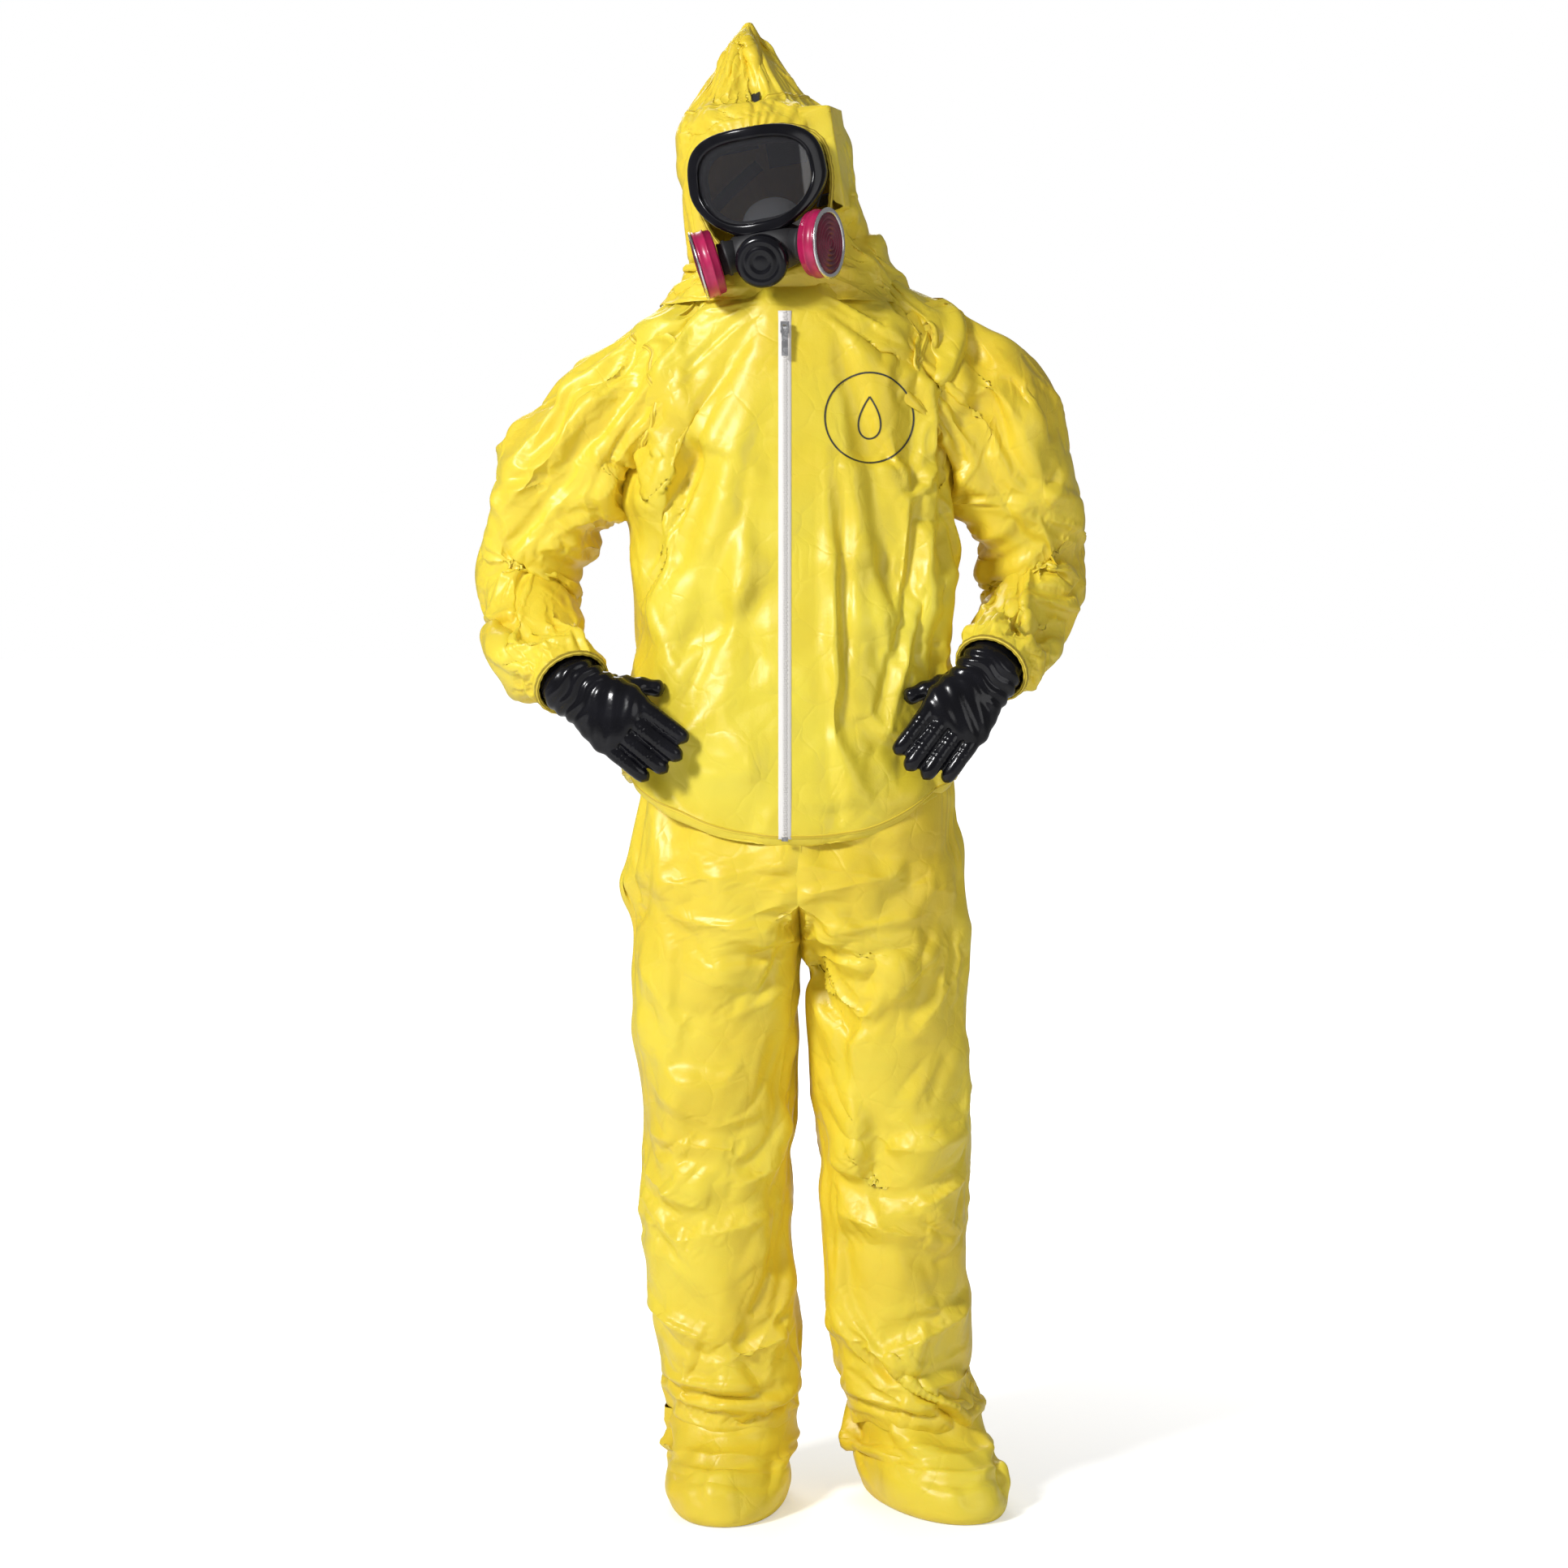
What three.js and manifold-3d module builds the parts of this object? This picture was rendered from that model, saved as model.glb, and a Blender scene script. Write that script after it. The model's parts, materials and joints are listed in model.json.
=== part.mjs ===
// A chemical protective suit: a hooded coverall with attached socks, gloves and a full-face respirator.
// Millimetres, +Z up, the front looks along -Y. "right" and "left" are the wearer's, so right is -X.
// The suit keeps the stance it is worn in: hands on the hips, head turned a little to the right.
import * as THREE from "three";
import { mergeVertices } from "three/addons/utils/BufferGeometryUtils.js";
import Module from "manifold-3d";

const wasm = await Module();
wasm.setup();

// ---------- driving dimensions ----------
const clothWall = 2.4; // laminated cloth with its seam allowance
const seamGap = 1; // between panels that are sewn together
const foldGap = 3.5; // between a fold of loose cloth and the panels it joins
const sides = 16; // round sections are drawn with this many sides

const jacket = {
  centreX: 11, halfWidth: 212, backDepth: 124,
  hemHeight: 938, hemDip: 76, shoulderHeight: 1538, neckHeight: 1578,
  frontAtShoulder: 112, frontSlope: 0.077, neckHalfWidth: 122, neckSetBack: 56,
};
const armhole = { radius: 97, height: 1430 };
const trousers = {
  centreX: 19, hipHalfWidth: 222, frontDepth: 140, backDepth: 122, crotchHeight: 740, stubTop: 860,
};
const sleeve = { upperRadius: 80, elbowRadius: 71, lowerRadius: 57, cuffRadius: 50, slant: 0.85 };
const zip = { tapeWidth: 20, tapeThick: 1.2, coilWidth: 4, coilThick: 1.6, slack: 0.6, pullLength: 32 };
const mask = {
  halfWidth: 83, halfHeight: 62, centreHeight: 111, front: -136, bendRadius: 125,
  frameWide: 11, frameDeep: 16, lensThick: 2.6, clearance: 1.2, cheekTaper: 0.34,
};
const hood = { height: 322, faceHeight: 180.32, besideMask: 23, crownSeam: 234 };
const hoodHalfWidth = mask.halfWidth + mask.frameWide + hood.besideMask;
const cartridge = { radius: 43, canDepth: 25, capDepth: 9, rimWidth: 6, forward: 14, down: 8 };
const headRise = cartridge.radius - 29; // over the neckline, so that the cartridges pass the jacket
const exhaust = { radius: 33, depth: 16, height: 5, reach: -146, down: 14 };
const port = { radius: 20, bore: 14, start: 42, length: 16 };
const flap = { thick: 0.8, clearance: 1.2, travel: 2 };
const glove = {
  wall: 2.2, palmHalfWidth: 46, palmHalfDepth: 19, palmLength: 92, wristRadius: 32, cuffDepth: 44,
};
const sock = { height: 118, wall: 2.4 };
const elastic = { width: 9, thick: 3 };

const suit = new THREE.Group();
suit.position.set(-1, 27, 0); // puts the origin under the middle of the suit's outline

// ---------- finishes ----------
const finish = (color, roughness, metalness = 0, extra = {}) =>
  new THREE.MeshStandardMaterial({ color, roughness, metalness, ...extra });
const yellowCloth = finish(0xe8d332, 0.42);
const whiteTape = finish(0xf2f0ec, 0.7);
const blackRubber = finish(0x17171b, 0.45);
const glossBlack = finish(0x08080b, 0.12);
const clearLens = finish(0xdfe8ea, 0.05, 0, { transparent: true, opacity: 0.3 });
const magenta = finish(0xb0184f, 0.35);
const silver = finish(0xc9c9c9, 0.3, 0.9);
const paleElastic = finish(0xe3d36a, 0.8);

// ---------- solids from grids of points ----------
const vector = (x, y, z) => new THREE.Vector3(x, y, z);
const radians = THREE.MathUtils.degToRad;
const range = (count) => Array.from({ length: count }, (_, i) => i);

// A geometry from points and faces, with no collapsed faces, turned so that it faces out.
function solidGeometry(points, faces) {
  const geometry = new THREE.BufferGeometry();
  geometry.setAttribute("position", new THREE.Float32BufferAttribute(points.flatMap((p) => [p.x, p.y, p.z]), 3));
  geometry.setIndex(faces.flat());
  const merged = mergeVertices(geometry, 1e-3);
  const index = [...merged.index.array];
  const position = merged.attributes.position;
  const corner = (i) => vector().fromBufferAttribute(position, i);
  const kept = [];
  let volume = 0;
  for (let i = 0; i < index.length; i += 3) {
    const [a, b, c] = index.slice(i, i + 3);
    if (a === b || b === c || a === c) continue;
    kept.push([a, b, c]);
    volume += corner(a).dot(corner(b).cross(corner(c)));
  }
  merged.setIndex(kept.map((f) => (volume < 0 ? [f[0], f[2], f[1]] : f)).flat());
  return merged;
}

// Two triangles for each cell between row and next, which hold indices of points.
const strip = (row, next, wraps) =>
  range(row.length - (wraps ? 0 : 1)).flatMap((j) => {
    const k = (j + 1) % row.length;
    return [[row[j], row[k], next[k]], [row[j], next[k], next[j]]];
  });

const indexRows = (rows) => rows.map((row, i) => row.map((_, j) => i * row.length + j));

// Rings joined into a tube whose last ring meets its first, as a hollow limb or a band has.
function loopSolid(rings) {
  const rows = indexRows(rings);
  return solidGeometry(rings.flat(), rows.flatMap((row, i) => strip(row, rows[(i + 1) % rows.length], true)));
}

// Rings joined in order, with the first and last closed by a fan round their middle.
function cappedSolid(rings) {
  const rows = indexRows(rings);
  const points = rings.flat();
  const faces = rows.slice(1).flatMap((row, i) => strip(rows[i], row, true));
  for (const [ring, row, turned] of [[rings[0], rows[0], true], [rings.at(-1), rows.at(-1), false]]) {
    const middle = ring.reduce((sum, p) => sum.add(p), vector(0, 0, 0)).divideScalar(ring.length);
    const centre = points.push(middle) - 1;
    row.forEach((a, j) => {
      const b = row[(j + 1) % row.length];
      faces.push(turned ? [centre, b, a] : [centre, a, b]);
    });
  }
  return solidGeometry(points, faces);
}

// A panel with an outer and an inner skin, given as rows of points, and an edge all round.
function panelSolid(outer, inner) {
  const outerRows = indexRows(outer);
  const shift = outer.length * outer[0].length;
  const innerRows = outerRows.map((row) => row.map((i) => i + shift));
  const faces = [];
  for (const i of range(outer.length - 1)) {
    faces.push(...strip(outerRows[i], outerRows[i + 1], false));
    faces.push(...strip(innerRows[i + 1], innerRows[i], false));
  }
  const column = (rows, j) => rows.map((row) => row.at(j));
  faces.push(...strip(innerRows[0], outerRows[0], false), ...strip(outerRows.at(-1), innerRows.at(-1), false));
  faces.push(...strip(column(outerRows, 0), column(innerRows, 0), false));
  faces.push(...strip(column(innerRows, -1), column(outerRows, -1), false));
  return solidGeometry([...outer.flat(), ...inner.flat()], faces);
}

// ---------- joins and cuts ----------
function manifoldOf(geometry) {
  const plain = new THREE.BufferGeometry().setAttribute("position", geometry.getAttribute("position"));
  if (geometry.index) plain.setIndex(geometry.index);
  const merged = mergeVertices(plain, 1e-3);
  return new wasm.Manifold(new wasm.Mesh({
    numProp: 3, vertProperties: merged.attributes.position.array, triVerts: new Uint32Array(merged.index.array),
  }));
}

function geometryOf(manifold) {
  const mesh = manifold.getMesh();
  const geometry = new THREE.BufferGeometry();
  geometry.setAttribute("position", new THREE.BufferAttribute(mesh.vertProperties, mesh.numProp));
  geometry.setIndex(new THREE.BufferAttribute(mesh.triVerts, 1));
  return geometry;
}

const joined = (...shapes) => geometryOf(shapes.map(manifoldOf).reduce((sum, s) => sum.add(s)));
const cut = (shape, ...tools) =>
  geometryOf(tools.map(manifoldOf).reduce((rest, t) => rest.subtract(t), manifoldOf(shape)));

// A geometry of three.js, closed and turned or moved into place.
function placed(geometry, position, quaternion = new THREE.Quaternion()) {
  return geometry.applyMatrix4(new THREE.Matrix4().compose(position, quaternion, vector(1, 1, 1)));
}
const turnTo = (from, to) => new THREE.Quaternion().setFromUnitVectors(from, to.clone().normalize());
const box = (width, depth, height, centre, turn) =>
  placed(new THREE.BoxGeometry(width, depth, height), centre, turn);
// A cylinder whose axis runs from its centre along a direction, half its length each way.
const cylinder = (radius, length, centre, direction, endRadius = radius, segments = 20) =>
  placed(new THREE.CylinderGeometry(endRadius, radius, length, segments), centre,
    turnTo(vector(0, 1, 0), direction));

// ---------- sections and limbs ----------
const mix = THREE.MathUtils.lerp;
// The value at share t of a list of evenly spread values.
function along(values, t) {
  const at = THREE.MathUtils.clamp(t, 0, 1) * (values.length - 1);
  const i = Math.min(Math.floor(at), values.length - 2);
  return mix(values[i], values[i + 1], at - i);
}

// A flat ring about a centre: side and front are the half axes' unit vectors.
const ring = ({ centre, side, front, a, b, slant = 0, lean }, inset = 0) =>
  range(sides).map((j) => {
    const angle = (2 * Math.PI * j) / sides;
    const across = (a - inset) * Math.cos(angle);
    const ahead = (b - inset) * Math.sin(angle);
    const point = centre.clone().addScaledVector(side, across).addScaledVector(front, ahead);
    return slant ? point.addScaledVector(lean, slant * across) : point;
  });

// A hollow tube through sections, from outer rings up and inner rings back.
const tube = (sections, wall) =>
  loopSolid([...sections.map((s) => ring(s)), ...sections.map((s) => ring(s, wall)).reverse()]);

// Loose cloth between two sections: its middle bends past the corner, and its girth runs from one to the other.
function fold(from, to, corner, wall, steps = 5) {
  const middleOf = (points) => points.reduce((sum, p) => sum.add(p), vector(0, 0, 0)).divideScalar(points.length);
  const skin = (inset) => {
    const [first, last] = [ring(from, inset), ring(to, inset)];
    const bend = new THREE.QuadraticBezierCurve3(middleOf(first), corner, middleOf(last));
    const trim = foldGap / bend.getLength();
    return range(steps + 1).map((i) => {
      const t = mix(trim, 1 - trim, i / steps);
      const middle = bend.getPoint(t);
      return first.map((p, j) => {
        const start = p.clone().sub(bend.v0);
        const end = last[j].clone().sub(bend.v2);
        const size = mix(start.length(), end.length(), t);
        return start.lerp(end, t).setLength(size).add(middle);
      });
    });
  };
  return loopSolid([...skin(0), ...skin(wall).reverse()]);
}

function add(parent, name, geometry, material) {
  const mesh = new THREE.Mesh(geometry, material);
  mesh.name = name;
  parent.add(mesh);
  return mesh;
}

// ---------- jacket ----------
const frontAt = (z) => -jacket.frontAtShoulder - jacket.frontSlope * (jacket.shoulderHeight - z);

// The jacket's level sections, from the hem to the neck: height, half width, front and back.
function jacketSections() {
  const { halfWidth, backDepth, hemHeight, shoulderHeight, neckHeight, neckHalfWidth } = jacket;
  const rise = shoulderHeight - hemHeight;
  const body = [ // share of the rise, wider than the hem, deeper than the back
    [0, 0, 0], [0.16, 0, -2], [0.33, -6, -4], [0.5, -8, -6], [0.67, -4, 2], [0.83, 10, 10], [0.94, 22, 6],
  ];
  const yoke = [[0, 14, 0], [0.5, -0.3, -8], [1, 0, -20]];
  return [
    ...body.map(([share, wider, deeper]) => {
      const z = hemHeight + share * rise;
      return { z, width: halfWidth + wider, front: frontAt(z), back: backDepth + deeper };
    }),
    ...yoke.map(([share, wider, deeper]) => {
      const z = mix(shoulderHeight, neckHeight, share);
      const width = share === 0 ? halfWidth + wider : mix(halfWidth, neckHalfWidth, share ** 0.8);
      const front = frontAt(shoulderHeight) + jacket.neckSetBack * share ** 1.1;
      return { z, width, front, back: backDepth + deeper };
    }),
  ];
}

const sectionOfJacket = ({ z, width, front, back }) => ({
  centre: vector(jacket.centreX, (front + back) / 2, z), side: vector(1, 0, 0), front: vector(0, 1, 0),
  a: width, b: (back - front) / 2,
});

// The hem hangs lower at the middle of the front: this is how far, at an angle round the jacket.
const hemDrop = (angle) => jacket.hemDip * Math.max(0, -Math.sin(angle)) ** 3;

function jacketPanel(fromAngle, toAngle, steps) {
  const sections = jacketSections().map(sectionOfJacket);
  const skin = (inset) =>
    sections.map(({ centre, a, b }, row) =>
      range(steps + 1).map((j) => {
        const angle = mix(fromAngle, toAngle, j / steps);
        const drop = row === 0 ? hemDrop(angle) : 0;
        const lean = drop * jacket.frontSlope * Math.max(0, -Math.sin(angle));
        const x = centre.x + (a - inset) * Math.cos(angle);
        return vector(x, centre.y + (b - inset) * Math.sin(angle) - lean, centre.z - drop);
      }));
  return panelSolid(skin(0), skin(clothWall));
}

const shoulderOf = (hand) => vector(jacket.centreX + hand * (jacket.halfWidth + 22), 5, armhole.height);
const armholeTool = (hand) => cylinder(armhole.radius, 120, shoulderOf(hand), vector(hand, 0, 0));

function addJacket() {
  const half = Math.PI / 2;
  const slit = seamGap / jacket.halfWidth;
  const back = slit / 2;
  const panels = {
    jacket_front_right: [-2 * half + back, -half - slit / 2, -1],
    jacket_front_left: [-half + slit / 2, -back, 1],
  };
  for (const [name, [from, to, hand]] of Object.entries(panels))
    add(suit, name, cut(jacketPanel(from, to, 9), armholeTool(hand)), yellowCloth);
  const backPanel = jacketPanel(back, 2 * half - back, 16);
  add(suit, "jacket_back", cut(backPanel, armholeTool(1), armholeTool(-1)), yellowCloth);
}

// ---------- trouser legs: each path runs from the hip to the ankle ----------
const legs = {
  right: { hand: -1, x: [-92, -89, -83, -84, -68], toeOut: -4, footX: -68 },
  left: { hand: 1, x: [131, 134, 146, 152, 174], toeOut: 24, footX: 180 },
};
const legShape = { // depth of the middle, half width and half depth, from the top down
  top: 840, bottom: sock.height, y: [-4, 0, 8, 16, 22], a: [112, 106, 97, 93, 92], b: [116, 110, 100, 96, 94],
};
const kneeHeight = 470;

function legSection(leg, z, inset = 0) {
  const t = (legShape.top - z) / (legShape.top - legShape.bottom);
  return {
    centre: vector(along(leg.x, t), along(legShape.y, t), z), side: vector(1, 0, 0), front: vector(0, 1, 0),
    a: along(legShape.a, t) - inset, b: along(legShape.b, t) - inset,
  };
}
const legTube = (leg, heights) => tube(heights.map((z) => legSection(leg, z)), clothWall);

const crotchTrim = trousers.crotchHeight - 10;
const thighTop = crotchTrim - 90;
const kneeTop = kneeHeight + 55;
const kneeBottom = kneeHeight - 55;

function addTrouserTop() {
  const { hipHalfWidth, frontDepth, backDepth, crotchHeight, stubTop } = trousers;
  const waistTop = jacket.hemHeight - 4;
  const tuck = clothWall + 5; // the waist lies inside the jacket's hem
  const waist = jacket.halfWidth - hipHalfWidth - tuck;
  const aside = jacket.centreX - trousers.centreX;
  const profile = [ // height, sideways shift, change of half width, change of half depth
    [waistTop, aside, waist, -tuck], [jacket.hemHeight - jacket.hemDip - 6, aside, waist, -tuck],
    [jacket.hemHeight - jacket.hemDip - 30, 0, 0, 0],
    [crotchHeight + 60, 0, 2, 0], [crotchHeight + 36, 0, -10, -12],
  ];
  const body = (inset, over) =>
    cappedSolid(profile.map(([z, shift, wider, deeper], i) => {
      const lift = i === 0 ? over : i === profile.length - 1 ? inset : 0;
      return ring({
        centre: vector(trousers.centreX + shift, (backDepth - frontDepth) / 2, z + lift),
        side: vector(1, 0, 0), front: vector(0, 1, 0),
        a: hipHalfWidth + wider, b: (frontDepth + backDepth) / 2 + deeper,
      }, inset);
    }));
  const stub = (leg, inset, over) =>
    cappedSolid([stubTop - inset, crotchHeight, crotchTrim - over].map((z) =>
      ring(legSection(leg, z), inset)));
  const outer = joined(body(0, 0), stub(legs.right, 0, 0), stub(legs.left, 0, 0));
  const inner = joined(body(clothWall, 5), stub(legs.right, clothWall, 5), stub(legs.left, clothWall, 5));
  const shell = cut(outer, inner);
  const seamX = (legs.right.x[0] + legs.left.x[0]) / 2;
  const size = 3 * hipHalfWidth;
  const halfSpace = (hand) =>
    box(size, size, size, vector(seamX + (hand * (size + seamGap)) / 2, 0, crotchHeight));
  for (const [name, leg] of Object.entries(legs)) {
    const half = manifoldOf(shell).intersect(manifoldOf(halfSpace(leg.hand)));
    add(suit, `trouser_top_${name}`, geometryOf(half), yellowCloth);
  }
}

function addLegs() {
  for (const [name, leg] of Object.entries(legs)) {
    const at = (z) => legSection(leg, z);
    const middle = (a, b) => at(a).centre.lerp(at(b).centre, 0.5);
    const foldOver = (low, high) => fold(at(low), at(high), middle(low, high), clothWall, 2);
    add(suit, `hip_fold_${name}`, foldOver(thighTop, crotchTrim), yellowCloth);
    add(suit, `trouser_thigh_${name}`, legTube(leg, [kneeTop, thighTop]), yellowCloth);
    add(suit, `knee_fold_${name}`, foldOver(kneeBottom, kneeTop), yellowCloth);
    const shin = [sock.height + seamGap, 200, 300, kneeBottom];
    add(suit, `trouser_shin_${name}`, legTube(leg, shin), yellowCloth);
  }
}

// ---------- socks: level sections of a foot, from the floor to the ankle ----------
function addSocks() {
  const shape = [ // height, forward, half width, half length
    [0, 38, 66, 128], [14, 38, 80, 142], [42, 34, 86, 138], [70, 12, 88, 118], [96, -12, 90, 100],
  ];
  for (const [name, leg] of Object.entries(legs)) {
    const turn = new THREE.Vector3(Math.sin(radians(leg.toeOut)), -Math.cos(radians(leg.toeOut)), 0);
    const side = vector(-turn.y, turn.x, 0);
    const ankle = legSection(leg, sock.height);
    const footSection = ([z, forward, a, b], lift = 0) => ({
      centre: vector(leg.footX, ankle.centre.y, z + lift).addScaledVector(turn, forward),
      side, front: turn.clone().negate(), a, b,
    });
    const outer = shape.map((s) => ring(footSection(s)));
    const inner = shape.map((s, i) => ring(footSection(s, i === 0 ? sock.wall : 0), sock.wall));
    const rings = [...outer, ring(ankle), ring(ankle, sock.wall), ...inner.reverse()];
    add(suit, `sock_${name}`, cappedSolid(rings), yellowCloth);
  }
}

// ---------- sleeves ----------
const arms = { // each place is counted from the shoulder
  right: armFrom(-1, { elbow: [-139, 61, -218], cuff: [-43, -131, -360], tips: [89, -185, -464] }),
  left: armFrom(1, { elbow: [119, 61, -214], cuff: [17, -131, -342], tips: [-79, -191, -470] }),
};
function armFrom(hand, { elbow, cuff, tips }) {
  const at = (offset) => shoulderOf(hand).add(vector(...offset));
  return { hand, elbow: at(elbow), cuff: at(cuff), tips: at(tips) };
}

// Unit vectors of an arm: each limb's own direction, and the bend's normal, which both limbs share.
function armFrame(arm) {
  const shoulder = shoulderOf(arm.hand);
  const upper = arm.elbow.clone().sub(shoulder).normalize();
  const lower = arm.cuff.clone().sub(arm.elbow).normalize();
  const normal = upper.clone().cross(lower).normalize();
  return { shoulder, upper, lower, normal };
}
const armSection = (start, direction, normal, distance, radius, slant = 0) => ({
  centre: start.clone().addScaledVector(direction, distance),
  side: normal.clone().cross(direction).normalize(), front: normal, a: radius, b: radius, slant, lean: direction,
});

function addSleeves() {
  for (const [name, arm] of Object.entries(arms)) {
    const { shoulder, upper, lower, normal } = armFrame(arm);
    const bendReach = 1.3 * sleeve.elbowRadius;
    const upperLength = arm.elbow.distanceTo(shoulder) - bendReach;
    const lowerLength = arm.cuff.distanceTo(arm.elbow);
    // The sleeve's head is cut on the slant, lower under the arm.
    const inward = vector(-arm.hand, 0, 0).addScaledVector(upper, arm.hand * upper.x).normalize();
    const headSection = {
      centre: shoulder.clone().addScaledVector(upper, 84),
      side: inward, front: inward.clone().cross(upper).normalize(),
      a: sleeve.upperRadius + 2, b: sleeve.upperRadius + 2, slant: sleeve.slant, lean: upper,
    };
    const tail = shoulder.clone().addScaledVector(upper, upperLength);
    const tailSection = { ...headSection, centre: tail, slant: 0, a: sleeve.elbowRadius, b: sleeve.elbowRadius };
    const armholeSection = {
      centre: shoulder.clone().setX(shoulder.x - arm.hand * 6), side: vector(0, 0, -1),
      front: vector(0, 0, -1).cross(vector(arm.hand, 0, 0)), a: armhole.radius - 3, b: armhole.radius - 3,
    };
    const corner = shoulder.clone().addScaledVector(upper, 20);
    const upperBend = armSection(shoulder, upper, normal, upperLength, sleeve.elbowRadius);
    const lowerBend = armSection(arm.elbow, lower, normal, bendReach, sleeve.elbowRadius - 5);
    const radii = [sleeve.elbowRadius - 5, sleeve.lowerRadius, sleeve.cuffRadius];
    const lowerSections = [0, 0.5, 1].map((t) =>
      armSection(arm.elbow, lower, normal, mix(bendReach, lowerLength, t), along(radii, t)));
    add(suit, `shoulder_fold_${name}`, fold(armholeSection, headSection, corner, clothWall, 4), yellowCloth);
    add(suit, `sleeve_upper_${name}`, tube([headSection, tailSection], clothWall), yellowCloth);
    add(suit, `elbow_fold_${name}`, fold(upperBend, lowerBend, arm.elbow, clothWall, 6), yellowCloth);
    add(suit, `sleeve_lower_${name}`, tube(lowerSections, clothWall), yellowCloth);
    const band = [seamGap, seamGap + elastic.width].map((d) =>
      armSection(arm.elbow, lower, normal, lowerLength + d, sleeve.cuffRadius - 1));
    add(suit, `cuff_elastic_${name}`, tube(band, elastic.thick), paleElastic);
  }
}

// ---------- gloves ----------
// A straight finger with a round tip, between two points.
function finger(from, to, radius) {
  const direction = to.clone().sub(from);
  const length = direction.length();
  return placed(new THREE.CapsuleGeometry(radius, length, 3, 8), from.clone().lerp(to, 0.5),
    turnTo(vector(0, 1, 0), direction));
}

function addGloves() {
  for (const [name, arm] of Object.entries(arms)) {
    const { lower } = armFrame(arm);
    const reach = arm.tips.clone().sub(arm.cuff).normalize(); // from the wrist to the finger tips
    const outward = vector(0, -1, 0).addScaledVector(reach, reach.y).normalize(); // out of the back of the hand
    const across = reach.clone().cross(outward).multiplyScalar(arm.hand).normalize(); // towards the thumb
    const at = (forward, wide, out = 0) =>
      arm.cuff.clone().addScaledVector(reach, forward).addScaledVector(across, wide).addScaledVector(outward, out);
    const squaredTo = (axis, v) => v.clone().addScaledVector(axis, -v.dot(axis)).normalize();
    const palmRing = (forward, a, b) => ring({ centre: at(forward, 0), side: across, front: outward, a, b });
    const wrist = (distance, radius) =>
      ring({
        ...armSection(arm.cuff, lower, armFrame(arm).normal, distance, radius),
        side: squaredTo(lower, across), front: squaredTo(lower, outward),
      });
    const { palmHalfWidth, palmHalfDepth, palmLength, wristRadius, cuffDepth } = glove;
    const hand = cappedSolid([
      wrist(-cuffDepth, wristRadius + 1), wrist(12, wristRadius),
      palmRing(40, wristRadius + 4, palmHalfDepth + 6),
      palmRing(0.62 * palmLength, palmHalfWidth, palmHalfDepth + 3),
      palmRing(palmLength, palmHalfWidth - 2, palmHalfDepth - 2),
    ]);
    const spread = [-1, -0.35, 0.33, 1];
    const lengths = [56, 76, 80, 70];
    const radii = [10.5, 11.5, 12, 11.5];
    const fingers = spread.map((share, i) => finger(at(palmLength - 8, share * (palmHalfWidth - 12), 0),
      at(palmLength + lengths[i] - 14, share * (palmHalfWidth - 8), -6), radii[i]));
    const thumb = finger(at(52, palmHalfWidth - 16, -6), at(88, palmHalfWidth + 6, -12), 12);
    const hollow = cappedSolid([
      wrist(-cuffDepth - 6, wristRadius + 1 - glove.wall), wrist(12, wristRadius - glove.wall),
      palmRing(40, wristRadius + 3 - glove.wall, palmHalfDepth + 5 - glove.wall),
      palmRing(palmLength - 20, palmHalfWidth - 12, palmHalfDepth - 6),
    ]);
    add(suit, `glove_${name}`, cut(joined(hand, ...fingers, thumb), hollow), glossBlack);
  }
}

// ---------- zip: it lies on the straight line down the front ----------
const zipLean = Math.atan(jacket.frontSlope);
const zipGroup = new THREE.Group();
zipGroup.position.set(jacket.centreX - 9, frontAt(jacket.shoulderHeight) - seamGap, jacket.shoulderHeight);
zipGroup.rotation.x = -zipLean;
suit.add(zipGroup);

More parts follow.
